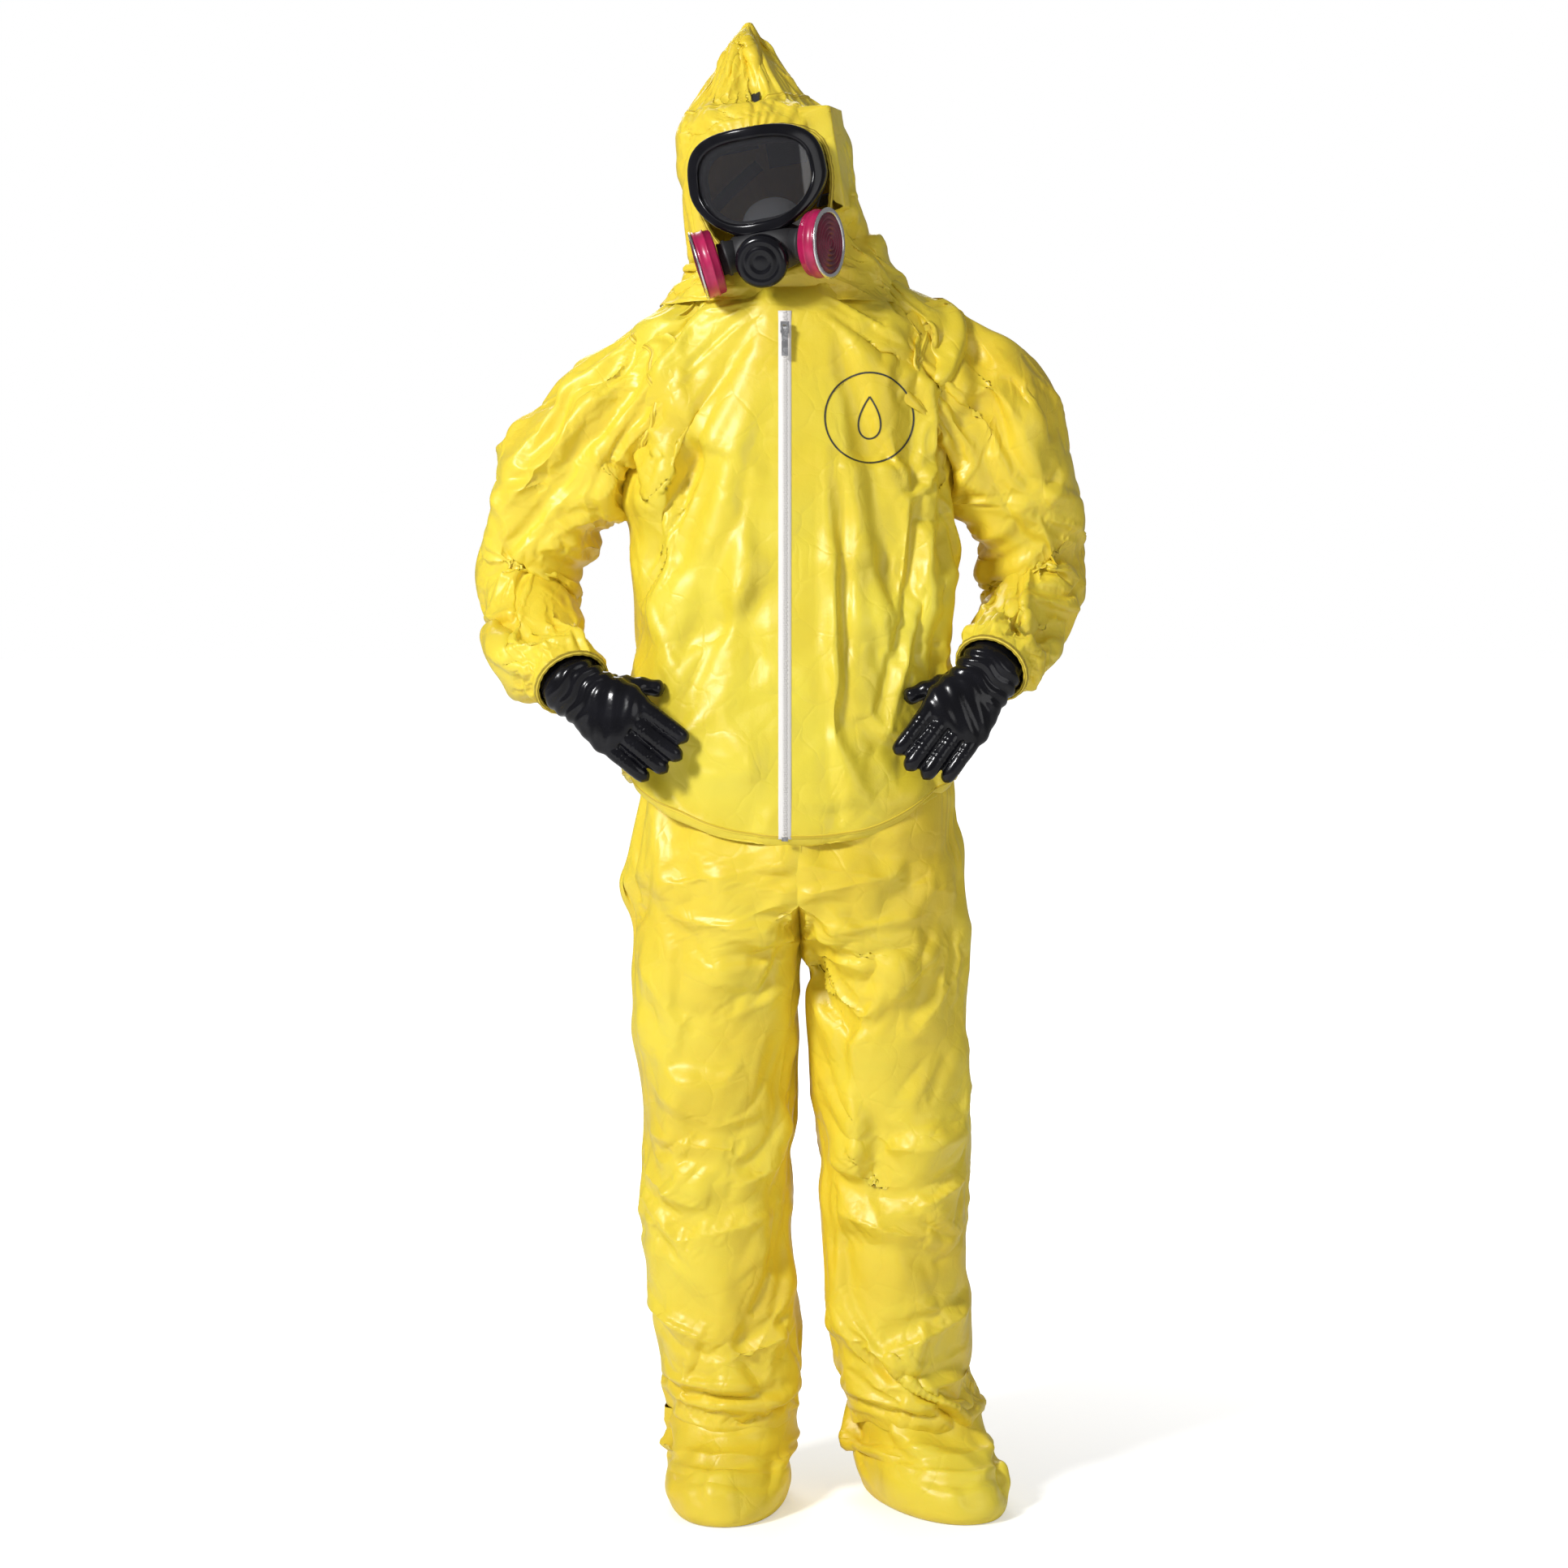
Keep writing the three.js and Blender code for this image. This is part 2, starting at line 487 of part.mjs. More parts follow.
function addZip() {
  const { tapeWidth, tapeThick, coilWidth, coilThick, slack, pullLength } = zip;
  const length = (jacket.shoulderHeight - jacket.hemHeight + jacket.hemDip - 8) / Math.cos(zipLean);
  const tapeGap = 0.4; // between the tape and the cloth behind it
  const tapeFront = -tapeThick - tapeGap;
  const coilFront = tapeFront - seamGap / 2 - coilThick;
  const tapeCentre = vector(0, -tapeGap - tapeThick / 2, -length / 2);
  add(zipGroup, "zip_tape", box(tapeWidth, tapeThick, length, tapeCentre), whiteTape);
  const coilCentre = (tapeFront - seamGap / 2 + coilFront) / 2;
  const coil = box(coilWidth, coilThick, length - 16, vector(0, coilCentre, -length / 2));
  add(zipGroup, "zip_coil", coil, whiteTape);
  const stop = box(coilWidth + 4, coilThick + 1, 5, vector(0, coilCentre - 0.5, -length + 4.5));
  add(zipGroup, "zip_bottom_stop", stop, silver);

  // The slider bridges the coil, and two ears hold the pull's pin.
  const sliderHeight = 15;
  const sliderZ = -28;
  const sliderFront = coilFront - slack - 2.4;
  const backFace = tapeFront - slack;
  const body = box(11, backFace - sliderFront, sliderHeight, vector(0, (backFace + sliderFront) / 2, sliderZ));
  const channel = box(coilWidth + 2 * slack, backFace - coilFront + slack + 2, sliderHeight + 4,
    vector(0, (backFace + 2 + coilFront - slack) / 2, sliderZ));
  const pinY = sliderFront - 4.2;
  const ear = (x) => box(1.4, 7, 6, vector(x, sliderFront - 2.9, sliderZ));
  const pin = cylinder(1, 8.6, vector(0, pinY, sliderZ), vector(1, 0, 0), 1, 14);
  add(zipGroup, "zip_slider", joined(cut(body, channel), ear(-3.6), ear(3.6), pin), silver);
  const knuckle = cylinder(2.5, 4.6, vector(0, pinY, sliderZ), vector(1, 0, 0), 2.5, 16);
  const eye = cylinder(1.4, 8, vector(0, pinY, sliderZ), vector(1, 0, 0), 1.4, 16);
  const blade = box(8, 1.6, pullLength, vector(0, pinY, sliderZ - pullLength / 2 - 4.4));
  const neck = box(4.6, 1.6, 5, vector(0, pinY, sliderZ - 3.6));
  add(zipGroup, "zip_pull", cut(joined(knuckle, neck, blade), eye), silver);
}

// ---------- head: hood and respirator share one group, tilted and turned from the neck ----------
const head = new THREE.Group();
head.position.set(8, 0, jacket.neckHeight + headRise);
head.rotation.set(0, radians(-9), radians(-13), "YZX");
suit.add(head);

// The hood's level sections, round the face by height and above it by share of what is left up to the peak.
// Each row then has its half width as a share, its front and its back.
function hoodSections() {
  const face = [
    [16.1, 1.04, -86, 110], [57.96, 0.98, -98, 116], [115.92, 0.99, -110, 123], [148.12, 1, -112, 125],
  ];
  const crown = [
    [0, 0.93, -104, 121], [5 / 22, 0.81, -82, 111], [9.5 / 22, 0.64, -56, 95], [14 / 22, 0.44, -30, 75],
    [18.5 / 22, 0.25, -6, 53], [1, 0.08, 14, 33],
  ];
  const lifted = crown.map(([share, ...row]) => [mix(hood.faceHeight, hood.height, share), ...row]);
  return [...face, ...lifted].map(([z, wide, front, back]) => ({
    centre: vector(0, (front + back) / 2, z), side: vector(1, 0, 0), front: vector(0, 1, 0),
    a: wide * hoodHalfWidth, b: (back - front) / 2,
  }));
}

// The outline of the lens: a squared oval, s from 0 to 1 round it, grown by a margin.
function maskOutline(s, grow = 0) {
  const angle = 2 * Math.PI * s;
  const squared = (c) => Math.sign(c) * Math.abs(c) ** 0.62;
  const z = (mask.halfHeight + grow) * squared(Math.sin(angle));
  const taper = 1 - mask.cheekTaper * Math.max(0, -z / mask.halfHeight) ** 1.5; // narrower at the cheeks
  return { x: (mask.halfWidth + grow) * squared(Math.cos(angle)) * taper, z: z + mask.centreHeight };
}
const bentBack = (x) => (x * x) / (2 * mask.bendRadius);
const onMask = ({ x, z }, depth) => vector(x, mask.front + bentBack(x) + depth, z);

// A band that follows the lens outline: rows are [growth, depth] round the band's section.
const maskBand = (rows, count = 32) =>
  loopSolid(rows.map(([grow, depth]) => range(count).map((i) => onMask(maskOutline(i / count, grow), depth))));

const cartridgeAxis = (hand) => {
  const forward = radians(cartridge.forward);
  return vector(hand * Math.cos(forward), -Math.sin(forward), -Math.sin(radians(cartridge.down))).normalize();
};
const portBase = (hand) => vector(hand * port.start, -126, 18);
const exhaustAxis = vector(0, -Math.cos(radians(exhaust.down)), -Math.sin(radians(exhaust.down)));
const exhaustBase = vector(0, exhaust.reach, exhaust.height);

// The hood's front at a place across and up.
function hoodFront(x, z, inset = 0) {
  const rows = hoodSections();
  const i = Math.max(1, rows.findIndex((s) => s.centre.z >= z));
  const share = (z - rows[i - 1].centre.z) / (rows[i].centre.z - rows[i - 1].centre.z);
  const [a, b, y] = ["a", "b"].map((k) => mix(rows[i - 1][k], rows[i][k], share) - inset)
    .concat(mix(rows[i - 1].centre.y, rows[i].centre.y, share));
  return y - b * Math.sqrt(Math.max(0, 1 - (x / a) ** 2));
}

// The hood's opening runs round the lens frame and, narrower, down under the chin.
const chinOpening = { halfWidth: 56, bottom: 15 };
function openingOutline(s, grow) {
  const p = maskOutline(s, mask.frameWide + grow);
  const below = Math.max(0, (mask.centreHeight - p.z) / (mask.halfHeight + mask.frameWide + grow));
  const reach = mask.centreHeight - chinOpening.bottom + grow;
  const narrow = mix(1, (chinOpening.halfWidth + grow) / (mask.halfWidth + mask.frameWide + grow), below ** 2);
  return { x: p.x * narrow, z: below > 0 ? mask.centreHeight - below * reach : p.z };
}

function addHood() {
  const sections = hoodSections();
  const outer = cappedSolid(sections.map((s) => ring(s)));
  const lowered = { ...sections[0], centre: sections[0].centre.clone().setZ(sections[0].centre.z - 4) };
  const inner = cappedSolid([ring(lowered, clothWall), ...sections.slice(0, -1).map((s) => ring(s, clothWall))]);
  const outline = (y) => range(36).map((i) => {
    const { x, z } = openingOutline(i / 36, mask.clearance);
    return vector(x, y, z);
  });
  const shell = manifoldOf(cut(outer, inner, cappedSolid([outline(-300), outline(-20)])));
  const seam = hood.crownSeam;
  const over = 400;
  const parts = {
    hood_crown: box(over, over, over, vector(0, 0, seam + over / 2 + seamGap)),
    hood_side_right: box(over, over, seam + over, vector(-over / 2 - seamGap / 2, 0, (seam - over) / 2)),
    hood_side_left: box(over, over, seam + over, vector(over / 2 + seamGap / 2, 0, (seam - over) / 2)),
  };
  for (const [name, part] of Object.entries(parts))
    add(head, name, geometryOf(shell.intersect(manifoldOf(part))), yellowCloth);
  const edge = (grow, depth) => range(40).map((i) => {
    const { x, z } = openingOutline(i / 40, grow);
    return vector(x, hoodFront(x, z) + depth, z);
  });
  const { clearance } = mask;
  add(head, "face_elastic", loopSolid([edge(clearance - 1, 3), edge(clearance - 1, 12),
    edge(clearance - 4, 12), edge(clearance - 4, 3)]), paleElastic);
}

// Loose cloth of the neck, from the jacket's neckline to the hood.
function addNeck() {
  const neckline = sectionOfJacket(jacketSections().at(-1));
  head.updateMatrix();
  const base = hoodSections()[0];
  const turned = (v) => v.clone().applyQuaternion(head.quaternion);
  const hoodBase = { ...base, centre: base.centre.clone().applyMatrix4(head.matrix), side: turned(base.side),
    front: turned(base.front) };
  const corner = neckline.centre.clone().lerp(hoodBase.centre, 0.5);
  add(suit, "neck_fold", fold(neckline, hoodBase, corner, clothWall, 2), yellowCloth);
}

// ---------- respirator ----------
function addLens() {
  const rings = (depth, shares) => shares.map((share) => range(32).map((i) => {
    const { x, z } = maskOutline(i / 32);
    return onMask({ x: x * share, z: mask.centreHeight + (z - mask.centreHeight) * share }, depth);
  }));
  const shares = [0.35, 0.7, 1];
  const lens = cappedSolid([...rings(0, shares), ...rings(mask.lensThick, [...shares].reverse())]);
  add(head, "mask_lens", lens, clearLens);
  const lip = 5;
  const groove = 1;
  const back = mask.frameDeep - 4;
  const deep = mask.lensThick + groove;
  add(head, "mask_frame", maskBand([[-lip, -4], [mask.frameWide, -4], [mask.frameWide, back], [-lip, back],
    [-lip, deep], [groove, deep], [groove, -groove], [-lip, -groove]]), glossBlack);
  const seal = maskBand([[-lip, back + seamGap], [6, back + seamGap], [-2, 38], [-6, 38]]);
  add(head, "face_seal", seal, blackRubber);
}

// The chin piece carries the two filter ports and the outlet; air passes through all three.
function addChinPiece() {
  const section = (y, a, b, z) =>
    ({ centre: vector(0, y, z), side: vector(1, 0, 0), front: vector(0, 0, 1), a, b });
  const rows = [
    section(-146, 32, 16, 15), section(-138, 42, 20, 15), section(-108, 43, 20, 15), section(-98, 40, 18, 16),
  ];
  const wall = 2.6;
  const moved = (row, y) => ({ ...row, centre: row.centre.clone().setY(y) });
  const hollowRows = [moved(rows[0], -142), rows[1], rows[2], moved(rows[3], -92)];
  const reach = port.length;
  const portTube = (hand, radius, length, from) =>
    cylinder(radius, length, portBase(hand).addScaledVector(cartridgeAxis(hand), from + length / 2),
      cartridgeAxis(hand));
  const outletRadius = exhaust.radius - 13;
  const outlet = (radius, length, from) =>
    cylinder(radius, length, exhaustBase.clone().addScaledVector(exhaustAxis, from + length / 2), exhaustAxis);
  const body = joined(cappedSolid(rows.map((s) => ring(s))), portTube(-1, port.radius, reach + 16, -16),
    portTube(1, port.radius, reach + 16, -16), outlet(outletRadius, 16, -12));
  const hollow = joined(cappedSolid(hollowRows.map((s) => ring(s, wall))),
    portTube(-1, port.bore, reach + 40, -36), portTube(1, port.bore, reach + 40, -36),
    outlet(outletRadius - 6, 40, -30));
  add(head, "mask_chin_piece", cut(body, hollow), blackRubber);

  const cup = [section(-91, 22, 16, 37), section(-83, 33, 25, 45), section(-55, 39, 34, 54)];
  const cupHollow = [section(-88, 19, 13, 37), section(-81, 30, 22, 45), section(-49, 37.5, 32, 55)];
  const solidOf = (sections) => cappedSolid(sections.map((s) => ring(s)));
  add(head, "nose_cup", cut(solidOf(cup), solidOf(cupHollow)), silver);

  // Outlet valve: a rubber flap resting before its seat, under a vented cover.
  add(head, "outlet_flap", outlet(outletRadius - 3, flap.thick, 4 + 0.4), blackRubber);
  const clear = flap.clearance;
  const coverWall = 2.4;
  const cover = outlet(exhaust.radius, exhaust.depth, 1);
  const room = outlet(exhaust.radius - coverWall, exhaust.depth - coverWall, -clear + 1);
  const vent = (i) => {
    const turn = turnTo(vector(0, 0, 1), exhaustAxis);
    const angle = (2 * Math.PI * i) / 6;
    const offset = vector(Math.cos(angle), Math.sin(angle), 0).multiplyScalar(19).applyQuaternion(turn);
    const place = exhaustBase.clone().addScaledVector(exhaustAxis, exhaust.depth).add(offset);
    return cylinder(4.2, 10, place, exhaustAxis, 4.2, 8);
  };
  add(head, "outlet_cover", cut(cover, room, ...range(6).map(vent)), glossBlack);
}

function addCartridges() {
  for (const [name, hand] of [["right", -1], ["left", 1]]) {
    const axis = cartridgeAxis(hand);
    const at = (distance) => portBase(hand).addScaledVector(axis, distance);
    const disc = (radius, from, to, end = radius) =>
      cylinder(radius, to - from, at((from + to) / 2), axis, end, 28);
    const { canDepth, capDepth, radius } = cartridge;
    const rimRadius = radius - cartridge.rimWidth;
    const start = port.length + seamGap;
    const canEnd = start + canDepth;
    const can = cut(disc(radius - 4, start, canEnd, radius), disc(port.bore, start - 1, start + 6),
      disc(radius - 6, start + 6, canEnd + 1, radius - 2.4));
    add(head, `cartridge_can_${name}`, can, magenta);
    const rim = cut(disc(radius + 1, canEnd + seamGap / 2, canEnd + 3),
      disc(rimRadius, canEnd - 1, canEnd + 4));
    add(head, `cartridge_rim_${name}`, rim, silver);
    const grille = disc(rimRadius - 0.4, canEnd - 3, canEnd + capDepth - 4, rimRadius - 5);
    const holes = range(8).map((i) => {
      const turn = turnTo(vector(0, 0, 1), axis);
      const angle = (2 * Math.PI * i) / 8;
      const offset = vector(Math.cos(angle), Math.sin(angle), 0)
        .multiplyScalar(rimRadius - 16).applyQuaternion(turn);
      return cylinder(3.4, 30, at(canEnd).add(offset), axis, 3.4, 6);
    });
    add(head, `cartridge_lid_${name}`, cut(grille, ...holes), magenta);
    add(head, `inlet_flap_${name}`, disc(port.bore - flap.clearance, -18, -18 + flap.thick), blackRubber);
  }
}

// Straps of the harness run inside the hood from the face seal to a pad on the back of the head.
function addHarness() {
  const pad = vector(0, 92, 162);
  const band = (from, over, to, width) => {
    const path = new THREE.QuadraticBezierCurve3(from, over, to);
    const rings = range(8).map((i) => {
      const t = i / 7;
      const along = path.getTangent(t);
      const out = path.getPoint(t).sub(vector(0, 0, 150)).normalize();
      const wide = along.clone().cross(out).normalize().multiplyScalar(width / 2);
      const thick = wide.clone().cross(along).normalize().multiplyScalar(elastic.thick / 2);
      return [[-1, -1], [1, -1], [1, 1], [-1, 1]].map(([a, b]) =>
        path.getPoint(t).addScaledVector(wide, a).addScaledVector(thick, b));
    });
    return cappedSolid(rings);
  };
  // Each strap starts behind the lens frame, at a place measured in from its side or up from its middle.
  const start = (hand, inside, up, depth) =>
    onMask({ x: hand * (mask.halfWidth - inside), z: mask.centreHeight + up }, depth);
  for (const [name, hand] of [["right", -1], ["left", 1]]) {
    const temple = band(start(hand, 5, 43, 49.66), vector(hand * (hoodHalfWidth - 1), 40, 170),
      vector(hand * 35, 90, 176), 16);
    add(head, `temple_strap_${name}`, temple, blackRubber);
    const cheek = band(start(hand, 19, -39, 57.62), vector(hand * (hoodHalfWidth + 7), 20, 82),
      vector(hand * 38, 88, 146), 16);
    add(head, `cheek_strap_${name}`, cheek, blackRubber);
  }
  const brow = vector(0, mask.front + 58, mask.centreHeight + mask.halfHeight + 19);
  add(head, "crown_strap", band(brow, vector(0, -10, 284), vector(0, 82, 188), 18), blackRubber);
  add(head, "harness_pad", box(50, 4, 44, pad), blackRubber);
}

addJacket();
addTrouserTop();
addLegs();
addSocks();
addSleeves();
addGloves();
addZip();
addHood();
addNeck();
addLens();
addChinPiece();
addCartridges();
addHarness();

export default suit;
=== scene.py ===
import json
import math
import bpy
import numpy as np
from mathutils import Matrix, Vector
from mathutils.bvhtree import BVHTree


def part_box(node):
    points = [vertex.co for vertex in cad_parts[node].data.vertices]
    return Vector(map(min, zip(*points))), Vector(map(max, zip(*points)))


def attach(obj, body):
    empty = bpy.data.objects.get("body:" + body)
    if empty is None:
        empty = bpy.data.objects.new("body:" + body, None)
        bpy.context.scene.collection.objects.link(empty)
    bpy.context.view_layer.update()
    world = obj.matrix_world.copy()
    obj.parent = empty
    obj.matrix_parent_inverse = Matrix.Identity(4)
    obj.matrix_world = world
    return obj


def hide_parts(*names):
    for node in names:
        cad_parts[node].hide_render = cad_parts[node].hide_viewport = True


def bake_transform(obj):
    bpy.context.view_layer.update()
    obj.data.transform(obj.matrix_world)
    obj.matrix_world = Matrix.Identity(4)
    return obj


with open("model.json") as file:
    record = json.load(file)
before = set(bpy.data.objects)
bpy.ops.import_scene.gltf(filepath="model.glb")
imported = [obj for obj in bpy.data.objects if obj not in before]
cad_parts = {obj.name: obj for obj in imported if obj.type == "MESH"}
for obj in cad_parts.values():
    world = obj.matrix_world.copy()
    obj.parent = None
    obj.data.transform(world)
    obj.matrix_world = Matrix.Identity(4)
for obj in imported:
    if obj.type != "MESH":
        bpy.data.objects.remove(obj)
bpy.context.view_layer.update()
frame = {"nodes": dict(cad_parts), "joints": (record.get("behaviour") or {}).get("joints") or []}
scene = bpy.context.scene
joints = {j["name"]: j for j in frame["joints"]}


def report(stage):
    print("suit:", stage, flush=True)


# small vector helpers
def vec(*values):
    return np.array(values, float)


def unit(v):
    return v / np.linalg.norm(v)


def smooth(a, b, x):  # 0 before a, 1 after b, with an S between them
    t = np.clip((x - a) / (b - a), 0, 1)
    return t * t * (3 - 2 * t)


def jointPlace(name):
    return np.array(joints[name]["pos_m"], float)


def boxOf(node):
    low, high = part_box(node)
    return np.array(low), np.array(high)


# materials
class Finish:
    # one material with its Principled shader; methods add patterns that read Object coordinates or the UV map
    def __init__(self, name, color, roughness, **sockets):
        self.mat = bpy.data.materials.new(name)
        self.mat.use_nodes = True
        self.nodes = self.mat.node_tree.nodes
        self.links = self.mat.node_tree.links
        self.shader = self.nodes["Principled BSDF"]
        self.shader.inputs["Base Color"].default_value = (*color, 1)
        self.shader.inputs["Roughness"].default_value = roughness
        for key, value in sockets.items():
            self.shader.inputs[key.replace("_", " ")].default_value = value
        self.coords = self.nodes.new("ShaderNodeTexCoord")
        self.height = None

    def pattern(self, kind, space="Object", stretch=(1, 1, 1), **settings):
        node = self.nodes.new(kind)
        mapping = self.nodes.new("ShaderNodeMapping")
        mapping.inputs["Scale"].default_value = stretch
        self.links.new(self.coords.outputs[space], mapping.inputs["Vector"])
        self.links.new(mapping.outputs["Vector"], node.inputs["Vector"])
        for key, value in settings.items():
            label = key.replace("_", " ").title()
            if label in node.inputs:
                node.inputs[label].default_value = value
            else:
                setattr(node, key, value)
        return node

    def ramp(self, output, stops):
        node = self.nodes.new("ShaderNodeValToRGB")
        self.links.new(output, node.inputs["Fac"])
        while len(node.color_ramp.elements) < len(stops):
            node.color_ramp.elements.new(0.5)
        for element, (place, color) in zip(node.color_ramp.elements, stops):
            element.position = place
            element.color = color if len(color) == 4 else (*color, 1)
        return node.outputs["Color"]

    def bump(self, output, distance, strength=1.0):
        node = self.nodes.new("ShaderNodeBump")
        node.inputs["Distance"].default_value = distance
        node.inputs["Strength"].default_value = strength
        self.links.new(output, node.inputs["Height"])
        if self.height is not None:
            self.links.new(self.height, node.inputs["Normal"])
        self.height = node.outputs["Normal"]
        self.links.new(self.height, self.shader.inputs["Normal"])
        return self

    # small flat facets: inside each cell of the pattern the height slopes its own way
    def facets(self, scale, tilt, smoothness=0.9):
        cells = self.pattern("ShaderNodeTexVoronoi", scale=scale, feature="SMOOTH_F1", smoothness=smoothness)
        away, lean, slope = (self.nodes.new("ShaderNodeVectorMath") for _ in range(3))
        away.operation, lean.operation, slope.operation = "SUBTRACT", "SUBTRACT", "DOT_PRODUCT"
        lean.inputs[1].default_value = (0.5, 0.5, 0.5)
        self.links.new(self.coords.outputs["Object"], away.inputs[0])
        self.links.new(cells.outputs["Position"], away.inputs[1])
        self.links.new(cells.outputs["Color"], lean.inputs[0])
        self.links.new(away.outputs["Vector"], slope.inputs[0])
        self.links.new(lean.outputs["Vector"], slope.inputs[1])
        return self.bump(slope.outputs["Value"], tilt, 1.0)

    # thin sharp creases along the borders between cells, which are bent by a noise
    def creases(self, scale, deep):
        cells = self.pattern("ShaderNodeTexVoronoi", scale=scale, feature="DISTANCE_TO_EDGE")
        bend, moved = self.nodes.new("ShaderNodeTexNoise"), self.nodes.new("ShaderNodeVectorMath")
        bend.inputs["Scale"].default_value = scale * 0.7
        moved.operation = "MULTIPLY_ADD"
        moved.inputs[1].default_value = (0.06, 0.06, 0.06)
        mapping = cells.inputs["Vector"].links[0].from_node
        self.links.new(mapping.outputs["Vector"], bend.inputs["Vector"])
        self.links.new(bend.outputs["Color"], moved.inputs[0])
        self.links.new(mapping.outputs["Vector"], moved.inputs[2])
        self.links.new(moved.outputs["Vector"], cells.inputs["Vector"])
        edge = self.ramp(cells.outputs["Distance"], [(0.0, (0, 0, 0)), (0.07, (0.75,) * 3), (0.2, (1, 1, 1))])
        return self.bump(edge, deep, 1.0)

    def tint(self, output, dark, light):
        self.links.new(self.ramp(output, [(0.3, dark), (0.7, light)]), self.shader.inputs["Base Color"])
        return self

    def rough(self, output, low, high):
        stops = [(0.3, (low,) * 3), (0.7, (high,) * 3)]
        self.links.new(self.ramp(output, stops), self.shader.inputs["Roughness"])
        return self


def coatedCloth():
    f = Finish("coatedYellowCloth", (0.83, 0.68, 0.045), 0.4, Subsurface_Weight=0.12, Subsurface_Scale=0.012,
               Coat_Weight=0.12, Coat_Roughness=0.3)
    f.shader.inputs["Subsurface Radius"].default_value = (1.0, 0.55, 0.08)
    tone = f.pattern("ShaderNodeTexNoise", scale=5, detail=4)
    f.tint(tone.outputs["Fac"], (0.78, 0.56, 0.026), (0.85, 0.69, 0.055))
    f.rough(f.pattern("ShaderNodeTexNoise", scale=34, detail=3).outputs["Fac"], 0.36, 0.5)
    f.facets(13, 0.24)
    ridges = f.pattern("ShaderNodeTexNoise", scale=7, detail=3, noise_type="RIDGED_MULTIFRACTAL",
                       distortion=0.4)
    f.bump(ridges.outputs["Fac"], 0.0028, 1.0)
    for scale, deep in ((8, 0.0006), (19, 0.0004)):
        f.creases(scale, deep)
    f.bump(f.pattern("ShaderNodeTexNoise", scale=38, detail=4, roughness=0.55).outputs["Fac"], 0.0018, 0.5)
    f.bump(f.pattern("ShaderNodeTexNoise", scale=620, detail=2).outputs["Fac"], 0.00012, 0.6)
    return f.mat


def seamTape():
    f = Finish("sewnSeam", (0.74, 0.57, 0.03), 0.5)
    run = f.pattern("ShaderNodeTexWave", space="UV", scale=75, bands_direction="X")
    f.tint(run.outputs["Fac"], (0.60, 0.42, 0.02), (0.82, 0.64, 0.045))
    f.bump(run.outputs["Fac"], 0.0004, 0.8)
    return f.mat


def blackGloss(name, roughness, wrinkle):
    f = Finish(name, (0.004, 0.004, 0.006), roughness, Specular_IOR_Level=0.22, Coat_Weight=0.16,
               Coat_Roughness=0.08)
    f.bump(f.pattern("ShaderNodeTexNoise", scale=60, detail=4).outputs["Fac"], wrinkle, 0.5)
    f.tint(f.pattern("ShaderNodeTexNoise", scale=25).outputs["Fac"], (0.003, 0.003, 0.0045),
           (0.007, 0.007, 0.010))
    return f.mat


def mattRubber():
    f = Finish("mattBlackRubber", (0.02, 0.02, 0.022), 0.6)
    f.bump(f.pattern("ShaderNodeTexNoise", scale=420, detail=3).outputs["Fac"], 0.0002, 0.6)
    f.rough(f.pattern("ShaderNodeTexNoise", scale=45).outputs["Fac"], 0.48, 0.68)
    return f.mat


def mouldedMagenta(name, light, dark):
    f = Finish(name, light, 0.34, Coat_Weight=0.2)
    f.tint(f.pattern("ShaderNodeTexNoise", scale=40, detail=3).outputs["Fac"], dark, light)
    f.bump(f.pattern("ShaderNodeTexNoise", scale=700, detail=2).outputs["Fac"], 0.0001, 0.5)
    return f.mat


def brightMetal():
    f = Finish("brightMetal", (0.78, 0.78, 0.8), 0.22, Metallic=1.0)
    f.rough(f.pattern("ShaderNodeTexNoise", scale=180, detail=3).outputs["Fac"], 0.16, 0.34)
    return f.mat


def greySilicone():
    f = Finish("greySilicone", (0.42, 0.43, 0.45), 0.42, Subsurface_Weight=0.1, Subsurface_Scale=0.004)
    f.bump(f.pattern("ShaderNodeTexNoise", scale=260, detail=2).outputs["Fac"], 0.0002, 0.4)
    return f.mat


def wovenWhite():
    f = Finish("whiteZipTape", (0.86, 0.84, 0.82), 0.65)
    weave = f.pattern("ShaderNodeTexWave", space="UV", scale=240, bands_direction="DIAGONAL")
    f.tint(weave.outputs["Fac"], (0.68, 0.66, 0.64), (0.9, 0.88, 0.86))
    f.bump(weave.outputs["Fac"], 0.0002, 0.7)
    return f.mat


def lensPaintedShade():
    # the lens is tinted near black and only partly see-through: painted shade for the dark space behind the
    # lens, not the lens's own colour
    f = Finish("lensPaintedShade", (0.03, 0.03, 0.035), 0.04, Alpha=0.42, Specular_IOR_Level=0.8, Coat_Weight=0.5)
    f.rough(f.pattern("ShaderNodeTexNoise", scale=18).outputs["Fac"], 0.03, 0.07)
    return f.mat


def ribbedElastic():
    f = Finish("ribbedElastic", (0.78, 0.60, 0.05), 0.6)
    ribs = f.pattern("ShaderNodeTexWave", space="UV", scale=110, bands_direction="X")
    # the ribs are a real pattern, but their grooves, where the bump is low, are painted darker orange-brown:
    # painted shade in the grooves
    f.tint(ribs.outputs["Fac"], (0.50, 0.34, 0.02), (0.82, 0.66, 0.06))
    f.bump(ribs.outputs["Fac"], 0.0008, 0.8)
    return f.mat


def darkPrint():
    f = Finish("darkPrint", (0.03, 0.03, 0.03), 0.5)
    f.tint(f.pattern("ShaderNodeTexNoise", scale=300).outputs["Fac"], (0.02, 0.02, 0.02), (0.06, 0.055, 0.03))
    return f.mat


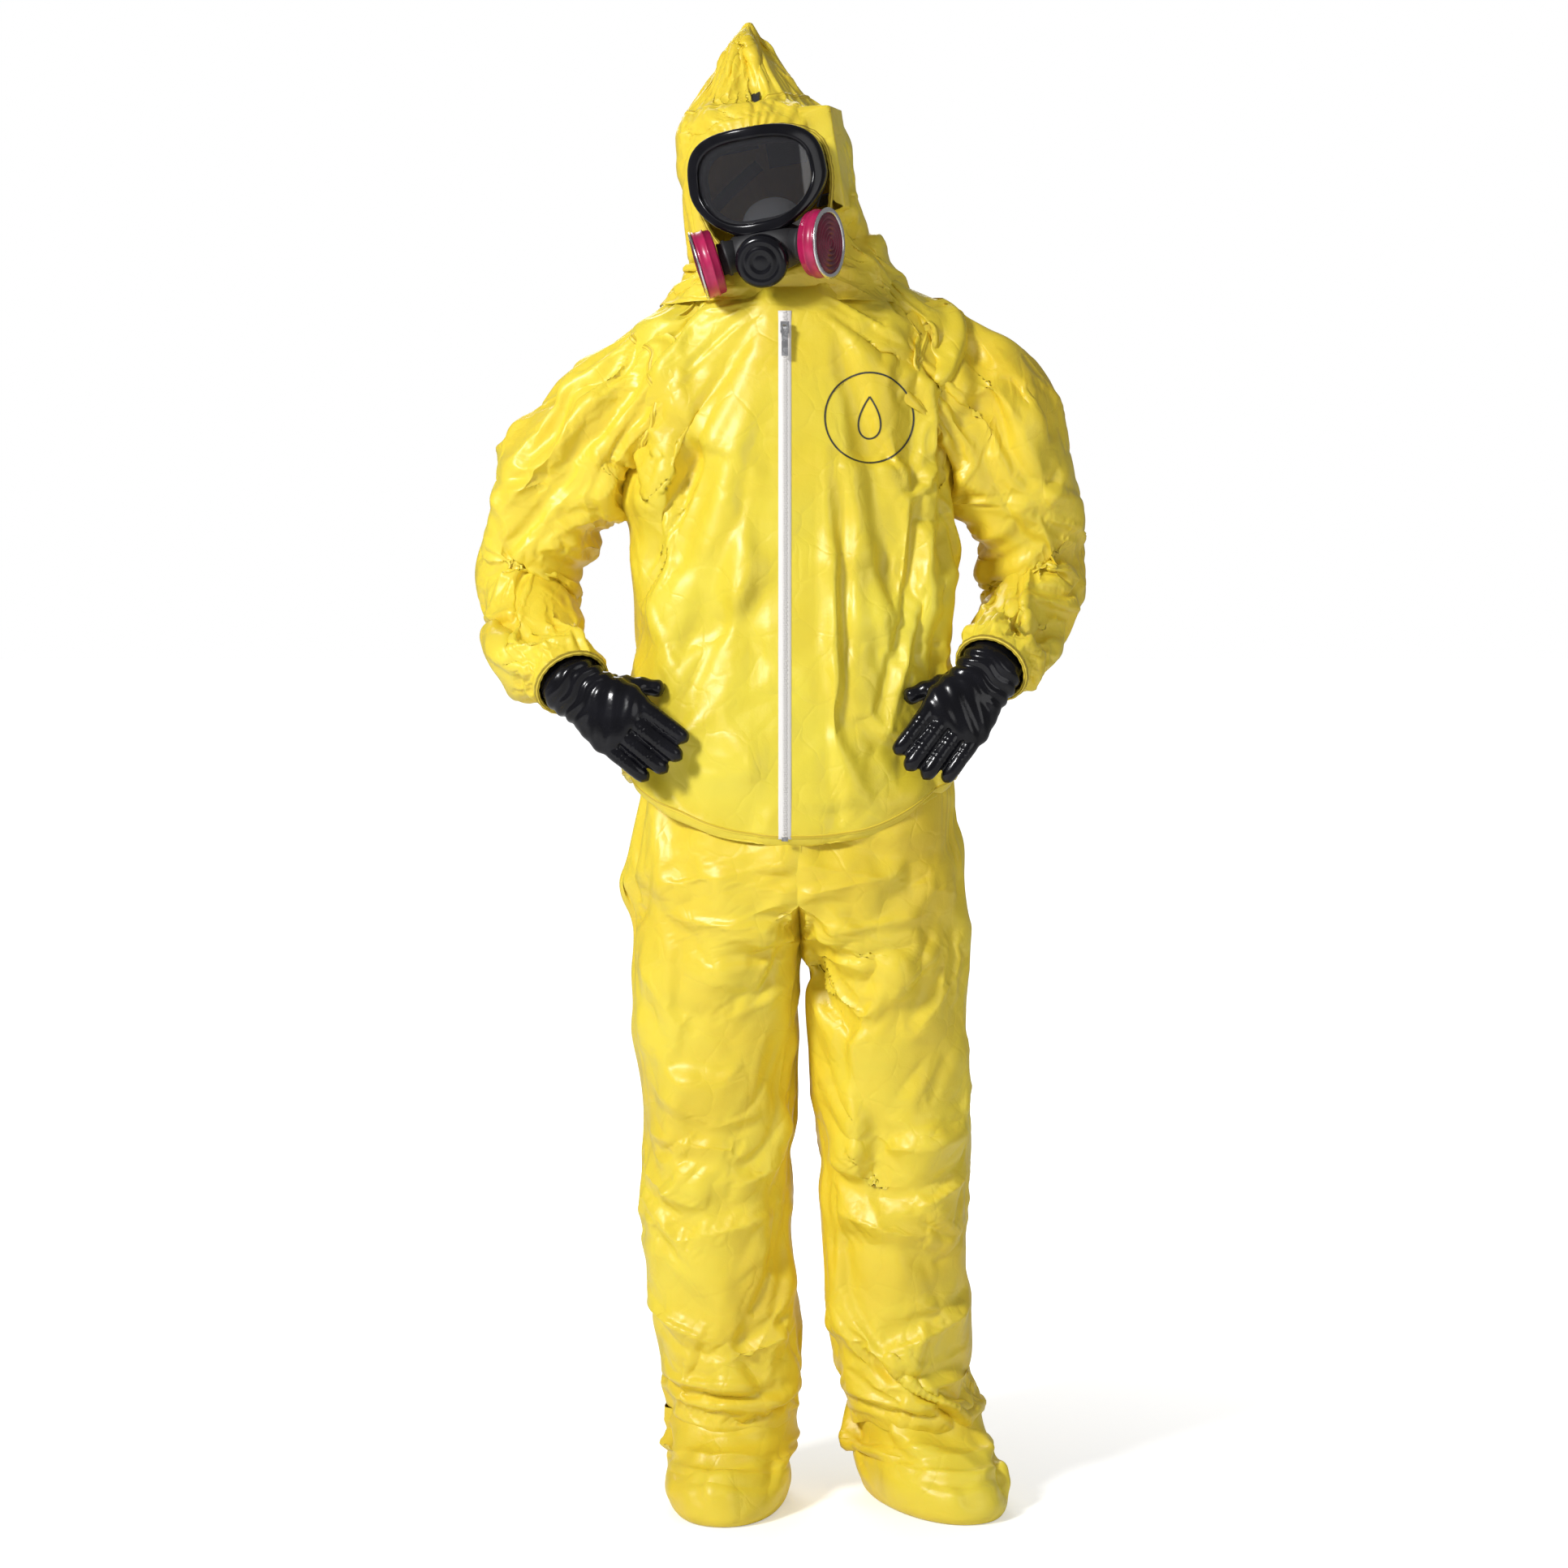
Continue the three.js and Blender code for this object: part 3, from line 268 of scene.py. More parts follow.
finishes = {
    "cloth": coatedCloth(), "seam": seamTape(), "glove": blackGloss("glossyGlove", 0.2, 0.0012),
    "frame": blackGloss("polishedBlack", 0.18, 0.0001), "rubber": mattRubber(),
    "can": mouldedMagenta("magentaCan", (0.50, 0.012, 0.10), (0.34, 0.006, 0.06)),
    "lid": mouldedMagenta("maroonLid", (0.20, 0.008, 0.04), (0.10, 0.004, 0.02)),
    "metal": brightMetal(), "silicone": greySilicone(), "zip": wovenWhite(), "lens": lensPaintedShade(),
    "elastic": ribbedElastic(), "print": darkPrint(),
}


# meshes from grids
def gridFaces(rows, cols, wraps):
    i, j = np.meshgrid(np.arange(rows - 1), np.arange(cols if wraps else cols - 1), indexing="ij")
    k = (j + 1) % cols
    return np.stack([i * cols + j, i * cols + k, (i + 1) * cols + k, (i + 1) * cols + j], -1).reshape(-1, 4)


def meshFrom(name, points, faces, material, uv=None, smoothShade=True):
    mesh = bpy.data.meshes.new(name)
    mesh.from_pydata(points.reshape(-1, 3).tolist(), [], [list(f) for f in faces])
    if uv is not None:
        layer = mesh.uv_layers.new(name="clothMap")
        loops = np.empty(len(mesh.loops), np.int32)
        mesh.loops.foreach_get("vertex_index", loops)
        layer.data.foreach_set("uv", uv.reshape(-1, 2)[loops].astype(np.float32).ravel())
    mesh.polygons.foreach_set("use_smooth", np.full(len(mesh.polygons), smoothShade))
    mesh.materials.append(finishes[material])
    mesh.update()
    piece = bpy.data.objects.new(name, mesh)
    scene.collection.objects.link(piece)
    return piece


def gridUv(grid):  # distance round and along the piece, in metres
    around = np.linalg.norm(np.roll(grid, -1, 1) - grid, axis=2)[:, :-1].mean(0)
    along = np.linalg.norm(np.diff(grid, axis=0), axis=2).mean(1)
    u = np.concatenate([[0], np.cumsum(around)])
    v = np.concatenate([[0], np.cumsum(along)])
    return np.stack(np.meshgrid(u, v), -1)


# a grid of points as a piece; each capped end gets a point at the middle of its ring
def gridPiece(name, grid, material, wraps=True, caps=(False, False), keep=None, wall=0.0, normals=None):
    rows, cols = grid.shape[:2]
    points = grid.reshape(-1, 3)
    uv = gridUv(grid).reshape(-1, 2)
    faces = gridFaces(rows, cols, wraps)
    if keep is not None:
        faces = faces[keep(points[faces].mean(1))]
    faces = faces.tolist()
    for capped, row in zip(caps, (0, rows - 1)):
        if capped:
            centre = len(points)
            points = np.vstack([points, grid[row].mean(0)])
            uv = np.vstack([uv, uv[row * cols]])
            ring = row * cols + np.arange(cols)
            after = np.roll(ring, -1)
            pair = (after, ring) if row == 0 else (ring, after)
            faces += np.stack([np.full(cols, centre), *pair], -1).tolist()
    piece = meshFrom(name, points, faces, material, uv)
    if normals is not None:
        piece.data.normals_split_custom_set_from_vertices(normals.reshape(-1, 3).tolist())
    if wall:
        skin = piece.modifiers.new("wall", "SOLIDIFY")
        skin.thickness = wall
        skin.offset = -1
    return piece


# cubic through the stations, with each tangent the slope between its neighbours
def throughStations(values, knots, t):
    values = np.asarray(values, float)
    slope = np.gradient(values, knots, axis=0)
    i = np.clip(np.searchsorted(knots, t, side="right") - 1, 0, len(knots) - 2)
    gap = (knots[i + 1] - knots[i])[:, None]
    s = ((t - knots[i])[:, None]) / gap
    return ((2 * s**3 - 3 * s**2 + 1) * values[i] + (s**3 - 2 * s**2 + s) * gap * slope[i]
            + (3 * s**2 - 2 * s**3) * values[i + 1] + (s**3 - s**2) * gap * slope[i + 1])


# point(u, v) = centre(v) + side(v) * cos(2 pi u) + front(v) * sin(2 pi u), squared off by the power
def sweptTube(stations, around, along, power=1.0):
    centre, side, front = (np.array([s[k] for s in stations], float) for k in range(3))
    reach = np.linalg.norm(np.diff(centre, axis=0), axis=1) + np.linalg.norm(np.diff(side, axis=0), axis=1)
    knots = np.concatenate([[0], np.cumsum(reach)])
    t = np.linspace(0, knots[-1], along)
    c, a, b = (throughStations(x, knots, t)[:, None, :] for x in (centre, side, front))
    angle = 2 * np.pi * np.arange(around) / around
    cos, sin = (np.sign(f(angle)) * np.abs(f(angle)) ** power for f in (np.cos, np.sin))
    return c + a * cos[None, :, None] + b * sin[None, :, None]


def gridNormals(grid):
    du = np.roll(grid, -1, 1) - np.roll(grid, 1, 1)
    dv = np.gradient(grid, axis=0)
    n = np.cross(du, dv)
    return n / np.maximum(np.linalg.norm(n, axis=2, keepdims=True), 1e-9)


# each fold is a line (u0, v0) to (u1, v1) on the cloth: a ridge that falls off across it, and a valley
def foldHeights(grid, folds):
    rows, cols = grid.shape[:2]
    uv = gridUv(grid)
    girth = uv[0, -1, 0] * cols / (cols - 1)
    length = uv[-1, 0, 1]
    u = np.arange(cols)[None, :] / cols
    v = (uv[:, 0, 1] / length)[:, None]
    total = np.zeros((rows, cols))
    for u0, v0, u1, v1, width, height in folds:
        x = ((u - u0 + 0.5) % 1 - 0.5) * girth
        y = (v - v0) * length + 0 * u
        dx, dy = (u1 - u0) * girth, (v1 - v0) * length
        span = max(math.hypot(dx, dy), 1e-6)
        t = np.clip((x * dx + y * dy) / span**2, 0, 1)
        away = np.hypot(x - t * dx, y - t * dy) / width
        across = (x * dy - y * dx) / span / width
        taper = np.sin(np.pi * np.clip(t, 0.04, 0.96)) ** 0.6
        valley = np.exp(-(((across - 1.7) / 0.9) ** 2)) * np.exp(-np.maximum(away - 2.5, 0) ** 2)
        total += height * taper * (np.exp(-np.maximum(away, 0) ** 1.12) - 0.6 * valley)
    return total


def foldCloth(grid, folds, fade=None):
    height = foldHeights(grid, folds)
    if fade is not None:
        height = height * fade
    return grid + gridNormals(grid) * height[:, :, None]


# crisp flat facets: every spot takes height = tilt . (place - seed), weighted by exp(-(distance / blend)^2)
def crumple(grid, seed, size, tilt, fade=1.0):
    rows, cols = grid.shape[:2]
    uv = gridUv(grid)
    girth, length = uv[0, -1, 0] * cols / (cols - 1), uv[-1, 0, 1]
    rng = np.random.default_rng(seed)
    count = int(girth * length / size**2)
    places = rng.uniform((0, -size), (girth, length + size), (count, 2))
    slopes = rng.normal(0, tilt, (count, 2))
    places = np.concatenate([places, places - (girth, 0), places + (girth, 0)])
    slopes = np.concatenate([slopes] * 3)
    spots = np.stack([np.broadcast_to(np.arange(cols) / cols * girth, (rows, cols)), uv[:, :, 1]], -1)
    heights = np.zeros((rows, cols))
    for first in range(0, rows, 16):
        block = spots[first:first + 16, :, None, :]
        close = np.abs(places[:, 1] - block[..., 1].mean()) < 4 * size + np.ptp(block[..., 1])
        away = block - places[close]
        square = (away**2).sum(-1) / (0.5 * size) ** 2
        weight = np.exp(square.min(-1, keepdims=True) - square)
        heights[first:first + 16] = (weight * (away * slopes[close]).sum(-1)).sum(-1) / weight.sum(-1)
    return grid + gridNormals(grid) * (heights * fade)[:, :, None]


# folds strewn over a patch of the cloth, all near one slope
def strewnFolds(seed, count, uRange, vRange, slope, spread, span, width, height, aspect=1.0):
    rng = np.random.default_rng(seed)
    folds = []
    for _ in range(count):
        u, v = rng.uniform(*uRange), rng.uniform(*vRange)
        angle = slope + rng.normal(0, spread)
        half = rng.uniform(*span) / 2
        du, dv = half * math.cos(angle), half * math.sin(angle) * aspect
        sign = 1 if rng.random() < 0.72 else -1
        folds.append((u - du, v - dv, u + du, v + dv, rng.uniform(*width), sign * rng.uniform(*height)))
    return folds


# every second row and column of the finer grid lies midway on the cubic through its four neighbours
def finer(grid):
    def split(a, wraps):
        if wraps:
            middle = (9 * (a + np.roll(a, -1, 0)) - np.roll(a, 1, 0) - np.roll(a, -2, 0)) / 16
            return np.stack([a, middle], 1).reshape(-1, *a.shape[1:])
        ends = np.concatenate([2 * a[:1] - a[1:2], a, 2 * a[-1:] - a[-2:-1]])
        middle = (9 * (ends[1:-2] + ends[2:-1]) - ends[:-3] - ends[3:]) / 16
        out = np.empty((2 * len(a) - 1, *a.shape[1:]))
        out[::2], out[1::2] = a, middle
        return out
    return split(split(grid, False).swapaxes(0, 1), True).swapaxes(0, 1)


clothSettings = {"frames": 14, "quality": 4, "mass": 0.12, "stiffness": 28, "bend": 0.2, "hold": 0.9,
                 "drift": 0.032,
                 "gravity": 0.25}


# the cloth grows by the given share, cell by cell, and settles into wrinkles between its held edges
def settleCloth(grid, growth, hold):
    rows, cols = grid.shape[:2]
    shell = meshFrom("settling", grid, gridFaces(rows, cols, True), "cloth")
    most = float(growth.max())
    for label, weights in (("hold", hold), ("growth", growth / most)):
        group = shell.vertex_groups.new(name=label)
        levels = np.round(np.broadcast_to(weights, (rows, cols)).ravel(), 2)
        for level in np.unique(levels):
            group.add(np.where(levels == level)[0].tolist(), float(level), "REPLACE")
    cloth = shell.modifiers.new("settle", "CLOTH")
    s = cloth.settings
    s.quality = clothSettings["quality"]
    s.mass = clothSettings["mass"]
    s.tension_stiffness = s.compression_stiffness = clothSettings["stiffness"]
    s.shear_stiffness = clothSettings["stiffness"] / 3
    s.bending_stiffness = clothSettings["bend"]
    s.air_damping = 2
    s.vertex_group_mass = "hold"
    s.pin_stiffness = clothSettings["hold"]
    s.vertex_group_shrink = "growth"
    s.shrink_min = 0.0
    s.shrink_max = -most
    s.effector_weights.gravity = clothSettings["gravity"]
    cloth.collision_settings.use_collision = False
    cloth.collision_settings.use_self_collision = False
    cloth.point_cache.frame_end = clothSettings["frames"]
    for f in range(1, clothSettings["frames"] + 1):
        scene.frame_set(f)
    settled = shell.evaluated_get(bpy.context.evaluated_depsgraph_get()).to_mesh()
    co = np.empty(rows * cols * 3, np.float32)
    settled.vertices.foreach_get("co", co)
    co = co.reshape(rows, cols, 3).astype(float)
    scene.frame_set(1)
    bpy.data.objects.remove(shell)
    drift = co - grid
    size = np.linalg.norm(drift, axis=2, keepdims=True)
    return grid + drift * np.minimum(1, clothSettings["drift"] / np.maximum(size, 1e-9))


# a sewn seam: a low band that follows a path of (u, v) places on the cloth
def seamBand(name, grid, path, width=0.0055, lift=0.0008, material="seam", closed=False):
    rows, cols = grid.shape[:2]
    normals = gridNormals(grid)
    steps = 220
    way = np.array(path, float)
    t = np.linspace(0, 1, steps)
    knots = np.linspace(0, 1, len(way))
    u = np.interp(t, knots, way[:, 0]) * cols
    v = np.interp(t, knots, way[:, 1]) * (rows - 1)

    def sample(field):
        i = np.clip(v.astype(int), 0, rows - 2)
        j = np.floor(u).astype(int)
        fv, fu = (v - i)[:, None], (u - j)[:, None]
        j0, j1 = j % cols, (j + 1) % cols
        return ((1 - fv) * ((1 - fu) * field[i, j0] + fu * field[i, j1])
                + fv * ((1 - fu) * field[i + 1, j0] + fu * field[i + 1, j1]))
    centre, normal = sample(grid), sample(normals)
    forward = np.gradient(centre, axis=0)
    across = np.cross(forward, normal)
    across /= np.maximum(np.linalg.norm(across, axis=1, keepdims=True), 1e-9)
    profile = [(-1, -0.6), (-0.8, 1), (0, 1.25), (0.8, 1), (1, -0.6)]
    band = np.stack([centre + across * a * width / 2 + normal * lift * h for a, h in profile], 1)
    return gridPiece(name, band[:, ::-1], material, wraps=False)


report("materials and helpers ready")

# jacket
jacketLook = {
    "around": 144, "along": 112, "growth": 0.035, "hold": 0.10,
    # height above the floor, half width, front and back, all in metres
    "rows": [
        (0.958, 0.194, -0.108, 0.130), (0.940, 0.206, -0.118, 0.142), (0.950, 0.213, -0.125, 0.149),
        (1.000, 0.213, -0.127, 0.152), (1.080, 0.208, -0.122, 0.149), (1.200, 0.206, -0.112, 0.146),
        (1.320, 0.209, -0.103, 0.148), (1.420, 0.216, -0.095, 0.150), (1.490, 0.222, -0.088, 0.148),
        (1.530, 0.214, -0.080, 0.140), (1.556, 0.178, -0.066, 0.128), (1.576, 0.132, -0.040, 0.112),
        (1.590, 0.100, -0.020, 0.098),
    ],
}


def jacketGrid():
    low, high = boxOf("jacket_back")
    middle = (low[0] + high[0]) / 2
    stations = [((middle, (f + b) / 2, z), (w, 0, 0), (0, (b - f) / 2, 0)) for z, w, f,
                b in jacketLook["rows"]]
    grid = sweptTube(stations, jacketLook["around"], jacketLook["along"], power=0.76)
    angle = 2 * np.pi * np.arange(jacketLook["around"]) / jacketLook["around"]
    drop = (low[2] - boxOf("jacket_front_left")[0][2]) * np.maximum(0, -np.sin(angle)) ** 2.2
    below = 1 - smooth(low[2] + 0.01, low[2] + 0.17, grid[:, :, 2])
    grid[:, :, 2] -= drop[None, :] * below
    front = np.maximum(0, -np.sin(angle))[None, :] ** 2
    grid[:, :, 1] -= 0.006 * front * below
    return grid


def jacketFolds():
    folds = [  # on the front, u 0.75 is the zip, and more is towards the wearer's left
        (0.771, 0.60, 0.776, 0.14, 0.007, 0.009), (0.786, 0.56, 0.790, 0.20, 0.007, -0.008),
        (0.83, 0.80, 0.815, 0.62, 0.014, 0.008), (0.906, 0.47, 0.836, 0.16, 0.010, 0.013),
        (0.900, 0.78, 0.925, 0.62, 0.009, -0.015), (0.885, 0.80, 0.895, 0.50, 0.010, 0.010),
        (0.91, 0.84, 0.90, 0.30, 0.012, 0.012), (0.95, 0.60, 0.93, 0.08, 0.014, 0.014),
        (0.97, 0.74, 0.90, 0.62, 0.010, 0.007), (0.96, 0.68, 0.86, 0.52, 0.010, 0.006),
        (0.53, 0.74, 0.62, 0.64, 0.012, 0.008), (0.53, 0.69, 0.60, 0.55, 0.012, 0.008),
        (0.56, 0.42, 0.66, 0.22, 0.014, 0.007), (0.52, 0.30, 0.62, 0.14, 0.014, 0.008),
        (0.68, 0.88, 0.60, 0.72, 0.016, 0.007), (0.69, 0.20, 0.60, 0.10, 0.010, 0.007),
        (0.81, 0.20, 0.92, 0.10, 0.010, 0.008), (0.99, 0.22, 0.88, 0.12, 0.012, 0.008),
        (0.30, 0.80, 0.22, 0.20, 0.020, 0.010), (0.17, 0.82, 0.12, 0.30, 0.018, 0.010),
        (0.38, 0.74, 0.42, 0.22, 0.018, 0.010), (0.25, 0.55, 0.33, 0.25, 0.02, -0.008),
    ]
    folds += strewnFolds(3, 26, (0, 1), (0.08, 0.30), 0.2, 0.5, (0.05, 0.14), (0.006, 0.012), (0.002, 0.005))
    folds += strewnFolds(4, 30, (0, 1), (0.2, 0.85), 1.4, 0.5, (0.06, 0.18), (0.007, 0.014), (0.002, 0.005))
    return folds


def calmZip(grid):  # the cloth lies flat beside the zip
    u = np.arange(grid.shape[1]) / grid.shape[1]
    return smooth(0.008, 0.03, np.abs(u - 0.75))[None, :]


rawJacket = jacketGrid()
calm = calmZip(rawJacket)
hold = np.full(rawJacket.shape[:2], jacketLook["hold"])
hold[[0, 1, 2, -3, -2, -1]] = 1
hold = np.maximum(hold, (1 - calm))
jacketCloth = settleCloth(foldCloth(rawJacket, jacketFolds(), calm),
                          np.full(hold.shape, jacketLook["growth"]), hold)
jacketCloth = crumple(finer(jacketCloth), 5, 0.07, 0.13, np.repeat(calm, 2, 1) * 0.9 + 0.1)
jacket = gridPiece("jacket", jacketCloth, "cloth", wall=0.0012)
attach(jacket, "torso")
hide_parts("jacket_front_right", "jacket_front_left", "jacket_back")
jacketTree = BVHTree.FromPolygons(jacketCloth.reshape(-1, 3).tolist(),
                                  gridFaces(*jacketCloth.shape[:2], True).tolist())
report("jacket")


def sideOfJacket(point, hand):  # where the settled jacket's side lies at a point's depth and height
    middle = (boxOf("jacket_back")[0][0] + boxOf("jacket_back")[1][0]) / 2
    hit = jacketTree.ray_cast(Vector((hand, point[1], min(point[2], 1.545))), Vector((-hand, 0, 0)))[0]
    return middle + max((hit[0] - middle) * hand, 0.10) * hand if hit else middle + hand * 0.10


# sleeves
sleeveLook = {
    "around": 96, "along": 120, "growth": 0.05, "elbowGrowth": 0.13, "hold": 0.07, "splitShare": 0.34,
    # the shoulder's rise and first three radii, then how far the sleeve reaches out and in at seven places
    "right": {"rise": 0.004, "top": (0.104, 0.087, 0.096),
              "reach": [(0.104, 0.056), (0.087, 0.060), (0.075, 0.068), (0.058, 0.080), (0.054, 0.074),
                        (0.065, 0.068),
                        (0.070, 0.058)]},
    "left": {"rise": 0.022, "top": (0.104, 0.095, 0.102),
             "reach": [(0.090, 0.055), (0.080, 0.062), (0.074, 0.068), (0.046, 0.082), (0.037, 0.080),
                       (0.041, 0.076),
                       (0.050, 0.070)]},
}


def sleeveStations(side, hand):
    shoulder, elbow, wrist = (jointPlace(f"{j}_{side}")
                              for j in ("shoulder_raise", "elbow_straighten", "wrist_bend"))
    upper, lower = unit(elbow - shoulder), unit(wrist - elbow)
    inward = vec(-hand, 0, 0)
    innerUpper = unit(inward - upper * (inward @ upper))
    innerLower = unit(inward - lower * (inward @ lower))
    under = vec(0, 0, -1)

    def ring(centre, direction, inner, wide, deep):
        inner = unit(inner - direction * (inner @ direction))
        return centre, inner * wide, np.cross(direction, inner) * deep
    bend = unit(upper + lower)
    forearm = np.linalg.norm(wrist - elbow)
    look = sleeveLook[side]
    rise, top = look["rise"], look["top"]

    def offset(place, direction, inner, deep, k):
        out, back = look["reach"][k]
        return ring(place - inner * (out - back) / 2, direction, inner, (out + back) / 2, deep)
    middle = unit(innerUpper + innerLower)
    return [
        ring(shoulder + vec(-hand * 0.014, 0, rise), vec(hand, 0, 0), under, top[0], 0.100),
        ring(shoulder + upper * 0.030 + vec(hand * 0.016, 0, rise * 0.9), unit(upper + vec(hand * 1.2, 0, 0)),
             unit(innerUpper + under), top[1], 0.096),
        ring(shoulder + upper * 0.080 + vec(hand * 0.006, 0, rise * 0.4), unit(upper + vec(hand * 0.3, 0, 0)),
             unit(innerUpper + 0.4 * under), top[2], 0.090),
        offset(shoulder + upper * 0.135, upper, innerUpper, 0.084, 0),
        offset(shoulder + upper * 0.185, upper, innerUpper, 0.079, 1),
        offset(elbow - upper * 0.050, upper, innerUpper, 0.076, 2),
        offset(elbow + (lower - upper) * 0.012, bend, middle, 0.078, 3),
        offset(elbow + lower * 0.055, lower, innerLower, 0.070, 4),
        offset(elbow + lower * 0.115, lower, innerLower, 0.066, 5),
        offset(elbow + lower * (forearm - 0.075), lower, innerLower, 0.062, 6),
        ring(elbow + lower * (forearm - 0.030), lower, innerLower, 0.057, 0.056),
        ring(elbow + lower * (forearm - 0.012), lower, innerLower, 0.049, 0.048),
        ring(elbow + lower * (forearm + 0.003), lower, innerLower, 0.046, 0.044),
    ]


def sleeveFolds(hand):
    folds = []
    for k, v in enumerate((0.40, 0.455, 0.51, 0.56, 0.61)):  # creases stacked inside the elbow
        folds.append((-0.22, v + 0.02, 0.24, v, 0.009, -0.011 if k % 2 else 0.011))
    folds += [(0.42, 0.20, 0.62, 0.42, 0.014, 0.009), (0.30, 0.12, 0.34, 0.38, 0.012, 0.008),
              (0.05, 0.10, 0.20, 0.30, 0.012, 0.009), (0.55, 0.62, 0.30, 0.80, 0.010, 0.008),
              (0.20, 0.64, 0.36, 0.86, 0.010, 0.007), (0.75, 0.60, 0.62, 0.84, 0.010, 0.007)]
    folds += strewnFolds(11 + hand, 34, (0, 1), (0.30, 0.70), 0.1, 0.45, (0.10, 0.3), (0.006, 0.011),
                         (0.003, 0.007))
    folds += strewnFolds(17 + hand, 22, (0, 1), (0.05, 0.35), 0.9, 0.5, (0.08, 0.2), (0.007, 0.012),
                         (0.002, 0.005))
    folds += strewnFolds(23 + hand, 26, (0, 1), (0.84, 0.985), 1.5, 0.25, (0.08, 0.16), (0.004, 0.007),
                         (0.002, 0.005))
    return folds if hand < 0 else [(-a, b, -c, d, w, h) for a, b, c, d, w, h in folds]


def splitGrid(grid, share):
    row = int(round(share * (len(grid) - 1)))
    return grid[: row + 1], grid[row:]


sleeveCloth = {}
for side, hand in (("right", -1), ("left", 1)):
    raw = sweptTube(sleeveStations(side, hand), sleeveLook["around"], sleeveLook["along"])
    onSide = np.array([sideOfJacket(point, hand) for point in raw[0]])
    for _ in range(4):
        onSide = (np.roll(onSide, 1) + 2 * onSide + np.roll(onSide, -1)) / 4
    shift = (onSide - hand * 0.006 - raw[0, :, 0])[None] * (1
        - smooth(0, 0.13, np.linspace(0, 1, len(raw))))[:, None]
    raw[:, :, 0] += shift
    fadeIn = smooth(0, 0.08, np.linspace(0, 1, len(raw)))[:, None]
    v = np.linspace(0, 1, len(raw))[:, None]
    grown = sleeveLook["growth"] + (sleeveLook["elbowGrowth"]
                                    - sleeveLook["growth"]) * np.exp(-(((v - 0.5) / 0.14) ** 2))
    grown = np.broadcast_to(grown, raw.shape[:2]).copy()
    hold = np.full(raw.shape[:2], sleeveLook["hold"])
    hold[[0, 1, -3, -2, -1]] = 1
    cloth = finer(settleCloth(foldCloth(raw, sleeveFolds(hand), fadeIn), grown, hold))
    ends = smooth(0, 0.06, np.linspace(0, 1, len(cloth))) * (1
        - smooth(0.93, 0.99, np.linspace(0, 1, len(cloth))))
    cloth = crumple(cloth, 7 + hand, 0.05, 0.15, ends[:, None])
    sleeveCloth[side] = cloth
    top, bottom = splitGrid(cloth, sleeveLook["splitShare"])
    topNormals, bottomNormals = splitGrid(gridNormals(cloth), sleeveLook["splitShare"])
    shoulder, elbow, wrist = (jointPlace(f"{j}_{side}")
                              for j in ("shoulder_raise", "elbow_straighten", "wrist_bend"))
    upper, lower = unit(elbow - shoulder), unit(wrist - elbow)
    upperSleeve = gridPiece(f"sleeveUpper_{side}", top, "cloth", normals=topNormals)
    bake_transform(upperSleeve)
    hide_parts(f"shoulder_fold_{side}", f"sleeve_upper_{side}")
    lowerSleeve = gridPiece(f"sleeveLower_{side}", bottom, "cloth", normals=bottomNormals)
    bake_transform(lowerSleeve)
    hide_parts(f"elbow_fold_{side}", f"sleeve_lower_{side}")
report("sleeves")

# trousers
trouserLook = {
    "around": 104, "along": 190, "growth": 0.04, "hold": 0.08, "splitHeight": 0.582, "crotch": 0.748,
    # height, half width, front and back of the leg
    "hip": [(0.955, 0.198, -0.104, 0.128), (0.925, 0.209, -0.116, 0.138), (0.88, 0.216, -0.125, 0.145),
            (0.84, 0.220, -0.124, 0.147), (0.78, 0.222, -0.116, 0.147), (0.72, 0.223, -0.108, 0.146),
            (0.10, 0.223, -0.108, 0.146)],
    "legs": {
        "right": [(0.96, -0.095, 0.108), (0.76, -0.092, 0.117), (0.70, -0.091, 0.114),
                  (0.66, -0.090, 0.107), (0.58, -0.087, 0.102),
                  (0.48, -0.083, 0.098), (0.39, -0.092, 0.093), (0.30, -0.084, 0.093), (0.20, -0.072, 0.092),
                  (0.12, -0.068, 0.086), (0.098, -0.068, 0.078)],
        "left": [(0.96, 0.135, 0.108), (0.76, 0.135, 0.117), (0.70, 0.134, 0.114), (0.66, 0.134, 0.107),
                 (0.58, 0.139, 0.100),
                 (0.48, 0.146, 0.096), (0.39, 0.146, 0.095), (0.30, 0.150, 0.092), (0.20, 0.159, 0.090),
                 (0.12, 0.174, 0.088), (0.098, 0.176, 0.078)],
    },
    "depth": [(0.96, 0.022, 0.116), (0.75, 0.022, 0.118), (0.58, 0.029, 0.104), (0.45, 0.034, 0.097),
              (0.30, 0.042, 0.094), (0.15, 0.048, 0.092), (0.098, 0.050, 0.084)],
}


